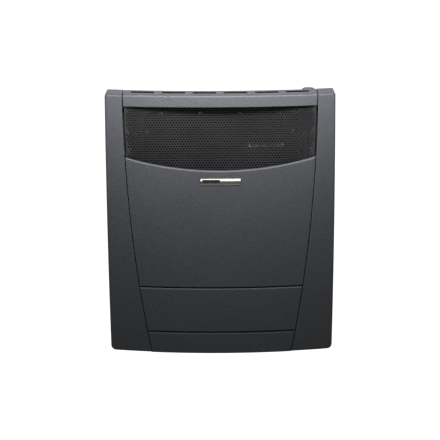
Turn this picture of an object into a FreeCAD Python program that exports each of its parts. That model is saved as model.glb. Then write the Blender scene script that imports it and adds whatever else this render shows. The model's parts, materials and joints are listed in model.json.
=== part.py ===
"""Wall mounted gas heater with a balanced flue, as a parametric FreeCAD document.

Row frame: X to the viewer's right, Y towards the wall, Z up. The origin is the centre of the
four wall fixing holes, on the wall plane. All lengths are in millimetres.

The casing front bulges two ways. It is turned about a vertical axis behind the wall, so every
height has the same bulge, and its side profile is one long arc with its crest in the upper
half. "Depth" below always means the distance behind that front, square to it, and a "band" is
the space between two depths. The sheet metal panels are cut from such bands.
"""

import FreeCAD, Part
import math
import os
import re

import Sketcher
from FreeCAD import Placement, Rotation, Vector

doc = FreeCAD.newDocument("wall_gas_heater")
sheet = doc.addObject("Spreadsheet::Sheet", "sizes")

# ---------------------------------------------------------------- driving dimensions
SIZES = {
    # casing
    "casing_width": 530.0,
    "casing_height": 630.0,
    "casing_depth": 190.0,
    "plan_radius": 1145.0,
    "crest_height": 472.5,
    "bottom_recess": 60.0,
    "casing_sheet": 1.2,
    "panel_gap": 1.6,
    "seat_gap": 0.3,
    "wall_clearance": 1.6,
    "top_corner_radius": 6.5,
    "bottom_corner_radius": 12.0,
    "bend_radius": 6.0,
    "seam_edge_radius": 1.5,
    "ledge_radius": 4.0,
    "return_depth": 14.0,
    "return_lip": 10.0,
    "seam_half_top": 223.9,
    "seam_half_middle": 207.9,
    "seam_half_bottom": 166.1,
    # top crossbar and the decks
    "crossbar_height": 28.5,
    "crossbar_hem": 3.5,
    "deck_depth": 64.0,
    "deck_hem": 9.0,
    "roof_slope": 0.27,
    "ridge_setback": 10.0,
    "rear_deck_drop": 28.0,
    "rear_deck_flange": 15.0,
    "skirt_drop": 44.0,
    "slot_count": 6,
    "slot_pitch": 71.3,
    "slot_length": 54.3,
    "slot_width": 22.0,
    "slot_setback": 25.0,
    "slot_corner_radius": 5.0,
    # panels below the grille
    "panel_top_height": 455.6,
    "panel_top_radius": 868.0,
    "panel_lip_depth": 6.0,
    "middle_seam_height": 171.5,
    "lower_seam_height": 56.8,
    "seam_opening": 2.4,
    "rail_sheet": 1.5,
    "rail_height": 36.0,
    "rail_depth": 8.0,
    "upper_rail_height": 425.0,
    # outlet grille
    "grille_sheet": 1.0,
    "grille_setback": 30.5,
    "grille_side_gap": 2.8,
    "grille_lap": 12.0,
    "hole_pitch": 6.5,
    "hole_row_pitch": 5.54,
    "hole_radius": 2.25,
    "hole_border": 1.5,
    "bracket_tab": 10.0,
    "bracket_low_height": 488.0,
    "rivet_radius": 1.6,
    # badge
    "badge_width": 92.0,
    "badge_height": 18.2,
    "badge_thickness": 2.4,
    "badge_bevel": 4.5,
    "badge_centre_height": 429.2,
    "inlay_width": 41.0,
    "inlay_height": 7.5,
    "inlay_offset": 21.7,
    "inlay_lift": 2.0,
    "inlay_rise": 0.4,
    # screws
    "screw_radius": 2.0,
    "screw_head_radius": 3.6,
    "screw_head_height": 2.0,
    "casing_screw_head": 1.0,
    # gas control
    "knob_offset": 206.5,
    "knob_setback": 72.0,
    "knob_radius": 15.5,
    "knob_crown_radius": 8.0,
    "knob_height": 22.0,
    "knob_crown_drop": 5.0,
    "knob_grooves": 12,
    "groove_radius": 1.2,
    "knob_bore_depth": 12.0,
    "pointer_width": 1.6,
    "pointer_rise": 0.4,
    "spindle_radius": 3.0,
    "spindle_flange_radius": 5.0,
    "spindle_flange_height": 1.5,
    "spindle_hole_radius": 4.0,
    "spindle_entry": 8.0,
    "running_clearance": 0.05,
    "push_travel": 4.0,
    "push_margin": 0.6,
    "bezel_thickness": 0.8,
    "bezel_radius": 16.8,
    "valve_width": 40.0,
    "valve_top_drop": 48.0,
    "valve_bore_depth": 14.0,
    "valve_depth": 50.0,
    "valve_height": 50.0,
    "valve_back": 42.0,
    "valve_centre": 204.0,
    "valve_bracket_height": 28.0,
    "valve_bracket_gap": 2.0,
    "bonnet_radius": 10.0,
    "bonnet_height": 3.0,
    "collar_radius": 7.0,
    "collar_thickness": 4.0,
    "spring_gap": 7.0,
    "spring_radius": 4.6,
    "spring_wire": 0.4,
    "spring_turns": 3.0,
    # spark igniter
    "igniter_offset": 191.0,
    "igniter_setback": 28.0,
    "igniter_radius": 8.0,
    "igniter_nut_height": 4.0,
    "igniter_length": 38.0,
    "igniter_flange": 11.5,
    "igniter_flange_rise": 2.5,
    "button_radius": 5.5,
    "button_length": 18.0,
    "button_margin": 3.5,
    "button_chamfer": 1.0,
    "button_travel": 5.0,
    "button_spring_gap": 12.0,
    # chassis
    "chassis_sheet": 1.2,
    "chassis_flange": 14.0,
    "chassis_top_drop": 30.0,
    "chassis_bottom_rise": 15.0,
    "wall_hole_half_x": 225.0,
    "wall_hole_half_z": 240.0,
    "wall_hole_radius": 4.5,
    "shield_offset": 179.8,
    "shield_depth": 110.0,
    "shield_low_height": 440.0,
    "shield_high_height": 585.0,
    "deflector_depth": 104.0,
    "deflector_half_width": 170.0,
    # flue and air duct
    "flue_height": 435.0,
    "exhaust_radius": 45.0,
    "intake_radius": 75.0,
    "exhaust_reach": 36.0,
    "intake_reach": 30.0,
    "collar_sheet": 1.0,
    "intake_sheet": 1.5,
    "collar_flange": 12.0,
    "exhaust_shoulder": 1.0,
    "intake_shoulder": 1.0,
    "duct_half_width": 96.0,
    "duct_margin": 20.0,
    "duct_rise": 2.0,
    "air_port_rise": 8.0,
    "air_port_half_width": 60.0,
    "air_port_height": 26.0,
    # combustion chamber
    "chamber_half_width": 165.0,
    "chamber_bottom_height": 100.0,
    "chamber_top_height": 565.0,
    "chamber_back": 28.3,
    "chamber_split": 74.0,
    "chamber_front": 116.0,
    "chamber_sheet": 1.2,
    "chamber_flange": 14.0,
    "chamber_corner": 12.0,
    "gasket_thickness": 1.5,
    "rib_radius": 5.0,
    "rib_pitch": 18.0,
    "rib_count": 6,
    "rib_top_drop": 10.0,
    "rib_end_gap": 22.0,
    "stand_off_width": 30.0,
    # sight window
    "window_offset": 105.5,
    "window_height": 501.0,
    "window_frame_length": 87.0,
    "window_frame_height": 12.0,
    "window_frame_thickness": 2.0,
    "window_length": 66.0,
    "window_opening": 5.0,
    # burner and gas line
    "burner_radius": 14.0,
    "burner_wall": 1.0,
    "burner_length": 242.0,
    "burner_end": 112.0,
    "burner_setback": 60.0,
    "burner_height": 137.0,
    "burner_slots": 24,
    "burner_slot_width": 1.2,
    "burner_foot": 12.0,
    "saddle_half": 11.2,
    "saddle_drop": 4.7,
    "injector_offset": 150.0,
    "injector_half": 6.0,
    "injector_half_height": 7.0,
    "nozzle_radius": 3.0,
    "nozzle_entry": 3.0,
    "gland_wall": 4.0,
    "gland_height": 5.0,
    "pilot_offset": 124.0,
    "pilot_spread": 12.0,
    "pilot_edge": 6.0,
    "pilot_opening_edge": 2.5,
    "pilot_plate_rise": 29.0,
    "pilot_head_radius": 4.0,
    "pilot_head_drop": 10.0,
    "pilot_head_length": 26.0,
    "probe_drop": 14.0,
    "thermocouple_setback": 68.0,
    "thermocouple_radius": 2.5,
    "thermocouple_length": 40.0,
    "spark_setback": 48.0,
    "electrode_radius": 3.2,
    "electrode_length": 28.0,
    "electrode_tip_radius": 0.9,
    "electrode_tip_length": 12.0,
    "feed_plate_sheet": 1.5,
    "feed_plate_edge": 12.0,
    "inlet_offset": 214.0,
    "inlet_setback": 52.0,
    "inlet_radius": 10.5,
    "inlet_bore": 4.5,
    "inlet_drop": 12.0,
    "inlet_length": 34.0,
    "inlet_thread": 18.7,
    "union_hex_reach": 4.0,
    "union_shoulder": 4.0,
    "union_neck": 2.0,
    "inlet_opening_radius": 20.0,
    "pipe_radius": 6.0,
    "feed_radius": 4.0,
    "feed_offset": 202.0,
    "pilot_pipe_offset": 190.0,
    "pilot_radius": 2.0,
    "lead_radius": 1.5,
    "pipe_wall": 1.0,
    "pipe_bend": 14.0,
    "feed_drop": 47.0,
    "pilot_drop": 30.0,
    "lead_jog_high": 100.0,
    "lead_jog_low": 140.0,
    "clip_height": 12.0,
    "clip_wall": 2.0,
    "clip_leg_half": 1.0,
    "clip_foot_half": 9.0,
    # how far a cutting tool runs past what it cuts
    "overrun": 1.0,
}

for row, (alias, number) in enumerate(SIZES.items(), start=1):
    sheet.set(f"A{row}", alias)
    sheet.set(f"B{row}", str(number))
    sheet.setAlias(f"B{row}", alias)
doc.recompute()


def size(alias):
    """A driving dimension as a number, for the shapes that are made in code."""
    return float(sheet.get(alias))


def formula(text):
    """An expression over the sheet, from one that names the sheet's cells by alias alone."""
    return re.sub(r"[a-z_]+", lambda word: "sizes." + word.group(), str(text))


# ---------------------------------------------------------------- derived places, as numbers
HALF_WIDTH = size("casing_width") / 2
TOP = size("casing_height") / 2
BOTTOM = -TOP
DEPTH = size("casing_depth")
SHEET = size("casing_sheet")
HALF_GAP = size("panel_gap") / 2
SEAT = size("seat_gap")
LIP = size("return_lip")
PLAN_RADIUS = size("plan_radius")
AXIS_Y = PLAN_RADIUS - DEPTH
CREST_Z = BOTTOM + size("crest_height")
SIDE_RADIUS = (size("crest_height") ** 2 + size("bottom_recess") ** 2) / (2 * size("bottom_recess"))
RETURN = size("return_depth")
RAIL_FRONT = RETURN + SEAT
RAIL_BACK = RAIL_FRONT + size("rail_sheet")
MARGIN = 40.0  # how far cutting tools run past what they cut
CROSSBAR_SCREW_SHARES = (0.25, 0.6)  # of the deck's depth
RIVET_SHARES = (0.1, 0.5, 0.9)  # of the bracket's height
FLANGE_SCREW_SHARES = (-0.84, -0.28, 0.28, 0.84)  # of half the chamber's width and height
SADDLE_SHARES = (0.2, 0.85)  # of the burner's length
CLIP_SHARES = (-0.85, -0.2, 0.45)  # of half the casing's height
DECK_RADIUS = PLAN_RADIUS - size("deck_depth")
REAR_DECK_Z = TOP - size("rear_deck_drop")
SKIRT_Z = TOP - size("skirt_drop")
CROSSBAR_Z = TOP - size("crossbar_height")
PANEL_TOP_Z = BOTTOM + size("panel_top_height")
MIDDLE_SEAM_Z = BOTTOM + size("middle_seam_height")
LOWER_SEAM_Z = BOTTOM + size("lower_seam_height")
BADGE_Z = BOTTOM + size("badge_centre_height")
CHAMBER_LOW = BOTTOM + size("chamber_bottom_height")
CHAMBER_HIGH = BOTTOM + size("chamber_top_height")
FLUE_Z = BOTTOM + size("flue_height")
BURNER_Z = BOTTOM + size("burner_height")
BURNER_Y = -size("burner_setback")
THERMO_Y = -size("thermocouple_setback")
SPARK_Y = -size("spark_setback")

# ---------------------------------------------------------------- derived places, as expressions
top = "(casing_height / 2)"
bottom = "(0 - casing_height / 2)"
deck_top = f"({top} - rear_deck_drop)"
deck_under = f"({deck_top} - casing_sheet)"
chamber_low = f"({bottom} + chamber_bottom_height)"
chamber_high = f"({bottom} + chamber_top_height)"
flue_z = f"({bottom} + flue_height)"
burner_z = f"({bottom} + burner_height)"
burner_y = "(0 - burner_setback)"
thermo_y = "(0 - thermocouple_setback)"
spark_y = "(0 - spark_setback)"
beside_pilot = "(pilot_offset + pilot_spread)"
injector_x = "(0 - injector_offset)"
split_back = "(0 - chamber_split)"
split_front = "(0 - chamber_split - gasket_thickness)"
plate_front = "(0 - chassis_sheet)"
valve_top = f"({top} - valve_top_drop)"
valve_low = f"({valve_top} - valve_height)"
knob_y = "(0 - knob_setback)"
igniter_y = "(0 - igniter_setback)"
window_z = f"({bottom} + window_height)"


# ---------------------------------------------------------------- the casing front
def profile_radius(z, depth=0.0):
    """Distance from the upright bulge axis to the surface at a depth, at height z."""
    return PLAN_RADIUS - SIDE_RADIUS + math.sqrt((SIDE_RADIUS - depth) ** 2 - (z - CREST_Z) ** 2)


def surface_y(x, z, depth=0.0):
    """Y of the surface at a depth, at a point of the front view."""
    return AXIS_Y - math.sqrt(profile_radius(z, depth) ** 2 - x**2)


def surface_normal(x, z):
    """Unit vector that points straight out of the casing front."""
    across = x / profile_radius(z)
    rise = (z - CREST_Z) / SIDE_RADIUS
    level = math.sqrt(1 - rise**2)
    return Vector(level * across, -level * math.sqrt(1 - across**2), rise)


def seam_circle():
    """Centre x, centre z and radius of the seam beside the right column, in the front view."""
    circle = Part.Arc(
        Vector(size("seam_half_top"), 0, TOP),
        Vector(size("seam_half_middle"), 0, 0),
        Vector(size("seam_half_bottom"), 0, BOTTOM),
    ).toShape().Curve
    return circle.Center.x, circle.Center.z, circle.Radius


SEAM_X, SEAM_Z, SEAM_RADIUS = seam_circle()


def seam_half(z, inset=0.0):
    """Half the width between the seams at height z, less an inset on each side."""
    return SEAM_X + math.sqrt((SEAM_RADIUS - inset) ** 2 - (z - SEAM_Z) ** 2)


def panel_top_z(x):
    """Height of the front panel's arched top edge."""
    radius = size("panel_top_radius")
    return PANEL_TOP_Z + radius - math.sqrt(radius**2 - x**2)


# ---------------------------------------------------------------- shape helpers
def line(start, end):
    return Part.makeLine(start, end)


def arc(start, middle, end):
    return Part.Arc(start, middle, end).toShape()


def front_prism(edges):
    """A closed outline of the front view, run through the whole depth of the object."""
    face = Part.Face(Part.Wire(edges))
    face.translate(Vector(0, -DEPTH - MARGIN, 0))
    return face.extrude(Vector(0, DEPTH + 2 * MARGIN, 0))


def slab(low_corner, high_corner):
    """A box from its lowest to its highest corner."""
    low, high = Vector(*low_corner), Vector(*high_corner)
    span = high - low
    return Part.makeBox(span.x, span.y, span.z, low)


def seam_arc(side, inset, low, high):
    """The line that runs inset from a seam, from one height to another."""
    heights = (low, (low + high) / 2, high)
    return arc(*[Vector(side * seam_half(z, inset), 0, z) for z in heights])


def between_seams(inset, low, high):
    """The field between the two seams, inset on both sides, from one height to another."""
    right = seam_arc(1, inset, low, high)
    left = seam_arc(-1, inset, low, high)
    ends = [
        line(Vector(-seam_half(z, inset), 0, z), Vector(seam_half(z, inset), 0, z)) for z in (low, high)
    ]
    return front_prism([ends[0], right, ends[1], left])


def beside_seam(side, inset_near, inset_far, low, high):
    """An upright strip between two lines that run beside one seam."""
    wide = between_seams(inset_near, low, high)
    narrow = between_seams(inset_far, low - MARGIN, high + MARGIN)
    half = slab((0, -DEPTH - MARGIN, BOTTOM - MARGIN), (HALF_WIDTH + MARGIN, MARGIN, TOP + MARGIN))
    if side < 0:
        half = half.mirror(Vector(), Vector(1, 0, 0))
    return wide.cut(narrow).common(half)


def below_panel_arc(inset):
    """Everything under the front panel's arched top edge, lowered by an inset."""
    radius = size("panel_top_radius") + inset
    centre = PANEL_TOP_Z + size("panel_top_radius")
    half = HALF_WIDTH + MARGIN
    shoulder = centre - math.sqrt(radius**2 - half**2)
    corners = [
        Vector(half, 0, shoulder),
        Vector(half, 0, BOTTOM - MARGIN),
        Vector(-half, 0, BOTTOM - MARGIN),
        Vector(-half, 0, shoulder),
    ]
    crown = arc(corners[3], Vector(0, 0, centre - radius), corners[0])
    return front_prism([crown] + Part.makePolygon(corners).Edges)


def turned_solid(outline):
    """A closed outline at x = 0, turned about the bulge axis as wide as the casing."""
    face = Part.Face(Part.Wire(outline))
    turn = math.degrees(math.asin((HALF_WIDTH + MARGIN) / (AXIS_Y - MARGIN)))
    axis = Vector(0, AXIS_Y, 0)
    face.rotate(axis, Vector(0, 0, 1), -turn)
    return face.revolve(axis, Vector(0, 0, 1), 2 * turn)


def front_band(near, far):
    """The space between two depths behind the casing front."""
    heights = (BOTTOM - MARGIN / 2, CREST_Z, TOP + MARGIN / 2)
    near_points = [Vector(0, surface_y(0, z, near), z) for z in heights]
    far_points = [Vector(0, surface_y(0, z, far), z) for z in heights]
    closing = [line(near_points[k], far_points[k]) for k in (0, 2)]
    return turned_solid([arc(*near_points), closing[1], arc(*far_points), closing[0]])


def ring(inner, outer, low, high):
    """A slice of a tube about the bulge axis, between two radii and two heights."""
    corners = [
        Vector(0, AXIS_Y - radius, z)
        for radius, z in ((inner, low), (outer, low), (outer, high), (inner, high), (inner, low))
    ]
    return turned_solid(Part.makePolygon(corners).Edges)


def under_roof(inset):
    """Everything under the columns' roof: level to behind the deck, then sloping to the wall."""
    inner = AXIS_Y - MARGIN / 2
    outer = PLAN_RADIUS + MARGIN
    ridge = TOP - inset
    bend = DECK_RADIUS - size("ridge_setback")
    wall_end = ridge - (bend - inner) * size("roof_slope")
    floor = BOTTOM - MARGIN
    outline = ((inner, floor), (outer, floor), (outer, ridge), (bend, ridge), (inner, wall_end))
    corners = [Vector(0, AXIS_Y - radius, z) for radius, z in outline + outline[:1]]
    return turned_solid(Part.makePolygon(corners).Edges)


def front_edges(shape, depth, wanted):
    """Edges on the surface at a depth whose middle passes the wanted(x, z) test."""
    found = []
    for edge in shape.Edges:
        middle = edge.valueAt((edge.FirstParameter + edge.LastParameter) / 2)
        points = [v.Point for v in edge.Vertexes] + [middle]
        on_surface = all(abs(p.y - surface_y(p.x, p.z, depth)) < 0.01 for p in points)
        if on_surface and wanted(middle.x, middle.z):
            found.append(edge)
    return found


def mirrored(shape):
    """The same shape on the other side of the middle plane."""
    return shape.mirror(Vector(), Vector(1, 0, 0))


def screw(head_seat, direction, shank_length, head_height, head_radius):
    """A pan head screw: its shank runs from the head's seat along the direction."""
    shank = Part.makeCylinder(size("screw_radius"), shank_length, head_seat, direction)
    head = Part.makeCylinder(head_radius, head_height, head_seat, direction * -1)
    return shank.fuse(head)


def screw_hole(point, direction):
    """A hole for a screw through the sheets near a point."""
    reach = 4 * SHEET
    radius = size("screw_radius") + size("running_clearance")
    return Part.makeCylinder(radius, 2 * reach, point - direction * reach, direction)


def tube_path(points, bend):
    """A wire of straight runs through the points, joined by tangent arcs of one radius."""
    edges = []
    start = points[0]
    for before, corner, after in zip(points, points[1:], points[2:]):
        back = (before - corner).normalize()
        ahead = (after - corner).normalize()
        half_turn = (math.pi - back.getAngle(ahead)) / 2
        setback = bend * math.tan(half_turn)
        inward = (back + ahead).normalize()
        middle = corner + inward * (bend / math.cos(half_turn) - bend)
        first, last = corner + back * setback, corner + ahead * setback
        edges += [line(start, first), arc(first, middle, last)]
        start = last
    edges.append(line(start, points[-1]))
    return Part.Wire(edges)


def tube(points, radius, bend, bore=0.0):
    """A round tube or rod along straight runs and arcs."""
    path = tube_path(points, bend)
    aim = points[1] - points[0]

    def swept(section_radius):
        circle = Part.Wire([Part.makeCircle(section_radius, points[0], aim)])
        return path.makePipeShell([circle], True, False)

    solid = swept(radius)
    return solid.cut(swept(bore)) if bore else solid


# ---------------------------------------------------------------- document helpers
PARTS = []


def node(thing, label):
    """Names an object of the document as a sub-part that is written out."""
    thing.Label = label
    PARTS.append(thing)
    return thing


def feature(label, shape):
    """A sub-part whose shape was made in code, as one solid or several separate ones."""
    thing = doc.addObject("Part::Feature", label)
    solids = shape.Solids
    thing.Shape = solids[0] if len(solids) == 1 else Part.makeCompound(solids)
    thing.Placement = Placement()
    return node(thing, label)


def bind(thing, **expressions):
    """Binds properties to expressions over the sheet; a double underscore stands for a dot."""
    for key, expression in expressions.items():
        thing.setExpression(key.replace("__", "."), formula(expression))
    return thing


TURNS = {
    "Z": Rotation(),
    "Y": Rotation(Vector(1, 0, 0), -90),
    "X": Rotation(Vector(0, 1, 0), 90),
}


def block(name, low, high):
    """A Part::Box from its lowest to its highest corner, each corner three expressions."""
    thing = doc.addObject("Part::Box", name)
    spans = [f"({b}) - ({a})" for a, b in zip(low, high)]
    bind(thing, Length=spans[0], Width=spans[1], Height=spans[2])
    return bind(thing, Placement__Base__x=low[0], Placement__Base__y=low[1], Placement__Base__z=low[2])


def rod(name, radius, start, length, axis="Z"):
    """A Part::Cylinder from a start point along +X, +Y or +Z."""
    thing = doc.addObject("Part::Cylinder", name)
    thing.Placement.Rotation = TURNS[axis]
    bind(thing, Radius=radius, Height=length)
    return bind(thing, Placement__Base__x=start[0], Placement__Base__y=start[1], Placement__Base__z=start[2])


def join(name, things):
    thing = doc.addObject("Part::MultiFuse", name)
    thing.Shapes = things
    return thing


def cut(name, base, tools):
    """The base less one or more tools."""
    thing = doc.addObject("Part::Cut", name)
    thing.Base = base
    thing.Tool = tools[0] if len(tools) == 1 else join(name + "_tools", tools)
    return thing


def group(name, things):
    """Separate solids of one kind, kept as one sub-part."""
    thing = doc.addObject("Part::Compound", name)
    thing.Links = things
    return thing


def rounded(name, base, radius, wanted):
    """A Part::Fillet of the edges of the base that pass the wanted(edge) test."""
    base.recompute()
    thing = doc.addObject("Part::Fillet", name)
    thing.Base = base
    edges = enumerate(base.Shape.Edges, start=1)
    thing.Edges = [(number, radius, radius) for number, edge in edges if wanted(edge)]
    return thing


def runs_along(axis):
    """A test for straight edges along +Y or another axis."""
    return lambda edge: edge.Curve.TypeId == "Part::GeomLine" and abs(edge.Curve.Direction.dot(axis)) > 0.99


def new_body(label):
    return doc.addObject("PartDesign::Body", label + "_body")


def new_sketch(body, name):
    """A sketch on the body's own XZ plane."""
    sketch = body.newObject("Sketcher::SketchObject", name)
    face = next(f for f in body.Origin.OriginFeatures if f.Role == "XZ_Plane")
    sketch.AttachmentSupport = [(face, "")]
    sketch.MapMode = "FlatFace"
    return sketch


def hold_point(sketch, geometry, vertex, across, up):
    """Ties a vertex to the sketch origin with two dimensions bound to expressions."""
    for kind, expression in (("DistanceX", across), ("DistanceY", up)):
        index = sketch.addConstraint(Sketcher.Constraint(kind, -1, 1, geometry, vertex, 1.0))
        sketch.setExpression(f"Constraints[{index}]", formula(expression))


def draw_polygon(sketch, corners):
    """A closed polygon whose corners are pairs of expressions, drawn anticlockwise."""
    count = len(corners)
    first = len(sketch.Geometry)
    turns = [2 * math.pi * k / count for k in range(count + 1)]
    round_corners = [Vector(math.cos(turn), math.sin(turn), 0) for turn in turns]
    for start, end in zip(round_corners, round_corners[1:]):
        sketch.addGeometry(Part.LineSegment(start, end), False)
    for k in range(count):
        sketch.addConstraint(Sketcher.Constraint("Coincident", first + k, 2, first + (k + 1) % count, 1))
    for k, (across, up) in enumerate(corners):
        hold_point(sketch, first + k, 1, across, up)


def draw_circle(sketch, across, up, radius):
    index = sketch.addGeometry(Part.Circle(Vector(), Vector(0, 0, 1), 1.0), False)
    hold_point(sketch, index, 3, across, up)
    number = sketch.addConstraint(Sketcher.Constraint("Radius", index, 1.0))
    sketch.setExpression(f"Constraints[{number}]", formula(radius))


def pad(body, sketch, name, length):
    thing = body.newObject("PartDesign::Pad", name)
    thing.Profile = sketch
    bind(thing, Length=length)
    return thing


def turned_body(label, outline, x="0", y="0"):
    """A PartDesign::Revolution of an outline of (radius, z) pairs about an upright axis."""
    body = new_body(label)
    sketch = new_sketch(body, label + "_outline")
    draw_polygon(sketch, outline)
    turn = body.newObject("PartDesign::Revolution", label + "_turn")
    turn.Profile = sketch
    turn.ReferenceAxis = (sketch, ["V_Axis"])
    turn.Angle = 360
    bind(body, Placement__Base__x=x, Placement__Base__y=y)
    return node(body, label)


# ---------------------------------------------------------------- casing columns
def column_outline(inset):
    """The right column in the front view, inset all round."""
    low, high, side = BOTTOM + inset, TOP - inset, HALF_WIDTH - inset
    high_radius = size("top_corner_radius") - inset
    low_radius = size("bottom_corner_radius") - inset
    seam = -HALF_GAP - inset
    bite = 1 - math.sqrt(0.5)
    seam_top = Vector(seam_half(high, seam), 0, high)
    seam_bottom = Vector(seam_half(low, seam), 0, low)
    return [
        seam_arc(1, seam, low, high),
        line(seam_top, Vector(side - high_radius, 0, high)),
        arc(
            Vector(side - high_radius, 0, high),
            Vector(side - high_radius * bite, 0, high - high_radius * bite),
            Vector(side, 0, high - high_radius),
        ),
        line(Vector(side, 0, high - high_radius), Vector(side, 0, low + low_radius)),
        arc(
            Vector(side, 0, low + low_radius),
            Vector(side - low_radius * bite, 0, low + low_radius * bite),
            Vector(side - low_radius, 0, low),
        ),
        line(Vector(side - low_radius, 0, low), seam_bottom),
    ]


def column_solid(inset):
    """The right column filled in, inset all round, with its outer front edges rounded."""
    solid = front_prism(column_outline(inset)).common(front_band(inset, DEPTH + MARGIN / 2))
    solid = solid.common(under_roof(inset))
    outer_side = lambda x, z: x > seam_half(z, -HALF_GAP - inset) + 1
    return solid.makeFillet(size("bend_radius") - inset, front_edges(solid, inset, outer_side))


def column_lip_points():
    """Where screws hold the right column's lip to the cross rails."""
    points = []
    for z in (BOTTOM + size("upper_rail_height"), MIDDLE_SEAM_Z, LOWER_SEAM_Z):
        x = seam_half(z) + HALF_GAP + LIP / 2
        points.append(Vector(x, surface_y(x, z, RETURN), z))
    return points


def casing_screw_points():
    """Where screws hold the right column's side wall to the chassis flange."""
    y = -(size("wall_clearance") + size("chassis_flange")) / 2
    return [Vector(HALF_WIDTH, y, share * size("wall_hole_half_z")) for share in (-1, 0, 1)]


def crossbar_screw_points():
    """Where screws hold the crossbar's end wall to the right column, on the column's leaning wall."""
    z = CROSSBAR_Z + size("crossbar_height") / 2
    head_rim = seam_half(z + size("screw_head_radius"))
    x = head_rim + HALF_GAP + SHEET + size("running_clearance")
    front = surface_y(x, z)
    return [Vector(x, front + share * size("deck_depth"), z) for share in CROSSBAR_SCREW_SHARES]


def right_column():
    """Pressed cover of the right side: front, outer wall, roof, floor and a lipped inner return.

    The lip and a sill in the floor reach across the seam, so that it is closed from behind.
    """
    outer = column_solid(0)
    inner_seam = lambda x, z: abs(x - seam_half(z, -HALF_GAP)) < 0.1
    outer = outer.makeFillet(size("seam_edge_radius"), front_edges(outer, 0, inner_seam))
    behind_wall_edge = slab(
        (0, -size("wall_clearance"), BOTTOM - MARGIN), (HALF_WIDTH + MARGIN, 2 * MARGIN, TOP + MARGIN)
    )
    shell = outer.cut(behind_wall_edge).cut(column_solid(SHEET))
    behind_return = beside_seam(1, -HALF_GAP - SHEET, MARGIN, BOTTOM + SHEET, SKIRT_Z)
    shell = shell.cut(behind_return.common(front_band(RETURN, DEPTH + MARGIN / 2)))
    seam_cover = HALF_GAP - SEAT
    lip = beside_seam(1, -HALF_GAP - LIP, seam_cover, BOTTOM + SHEET / 2, SKIRT_Z)
    sill = beside_seam(1, -HALF_GAP - SHEET / 2, seam_cover, BOTTOM, BOTTOM + SHEET)
    sill = sill.common(front_band(size("seam_edge_radius") + SEAT, RETURN))
    shell = shell.fuse([lip.common(front_band(RETURN - SHEET, RETURN)), sill])
    across = Vector(1, 0, 0)
    holes = [screw_hole(p, surface_normal(p.x, p.z)) for p in column_lip_points()]
    holes += [screw_hole(p, across) for p in casing_screw_points() + crossbar_screw_points()]
    return shell.cut(Part.makeCompound(holes)).removeSplitter()


def gas_opening():
    """The hole in the right column's floor that the gas inlet passes through."""
    radius = size("inlet_opening_radius")
    centre = Vector(size("inlet_offset"), -size("inlet_setback"), BOTTOM - MARGIN / 2)
    return Part.makeCylinder(radius, MARGIN, centre)


# ---------------------------------------------------------------- crossbar and rear deck
def crossbar_solid(inset, low):
    """The crossbar filled in, inset from its outside, with its top front edge rounded."""
    solid = between_seams(HALF_GAP + inset, low, TOP - inset)
    solid = solid.common(front_band(inset, size("deck_depth") - inset))
    upper_front = lambda x, z: z > TOP - inset - 0.1
    return solid.makeFillet(size("bend_radius") - inset, front_edges(solid, inset, upper_front))


def deck_slot(centre):
    """One curved air slot through the deck."""
    near = profile_radius(TOP) - size("slot_setback")
    far = near - size("slot_width")
    half = size("slot_length") / 2
    low, high = TOP - 2 * SHEET, TOP + SHEET

    def across(radius, x):
        return Vector(x, AXIS_Y - math.sqrt(radius**2 - x**2), low)

    xs = (centre - half, centre, centre + half)
    edges = [arc(*[across(near, x) for x in xs]), arc(*[across(far, x) for x in xs])]
    edges += [line(across(near, x), across(far, x)) for x in (xs[0], xs[2])]
    solid = Part.Face(Part.Wire(Part.__sortEdges__(edges))).extrude(Vector(0, 0, high - low))
    upright = [e for e in solid.Edges if abs(e.Vertexes[0].Z - e.Vertexes[-1].Z) > SHEET]
    return solid.makeFillet(size("slot_corner_radius"), upright)


def crossbar():
    """Bent cover over the top: a front face, a level deck with air slots and a rear hem."""
    outer = crossbar_solid(0, CROSSBAR_Z)
    outline = lambda x, z: abs(x) > HALF_WIDTH / 2 or z < CROSSBAR_Z + 0.1
    outer = outer.makeFillet(size("seam_edge_radius"), front_edges(outer, 0, outline))
    depth = size("deck_depth")
    bottom_opening = between_seams(HALF_GAP + SHEET, CROSSBAR_Z - MARGIN / 2, CROSSBAR_Z + 2 * SHEET)
    rear_opening = between_seams(-MARGIN / 2, CROSSBAR_Z - MARGIN / 2, TOP - size("deck_hem"))
    shell = outer.cut(crossbar_solid(SHEET, CROSSBAR_Z + SHEET))
    shell = shell.cut(bottom_opening.common(front_band(size("crossbar_hem"), depth - SHEET)))
    shell = shell.cut(rear_opening.common(front_band(depth - 12 * SHEET, depth + MARGIN / 2)))
    count = int(size("slot_count"))
    centres = [(k - (count - 1) / 2) * size("slot_pitch") for k in range(count)]
    holes = [screw_hole(p, Vector(1, 0, 0)) for p in crossbar_screw_points()]
    holes += [mirrored(hole) for hole in holes]
    return shell.cut(Part.makeCompound(holes + [deck_slot(x) for x in centres]))


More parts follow.
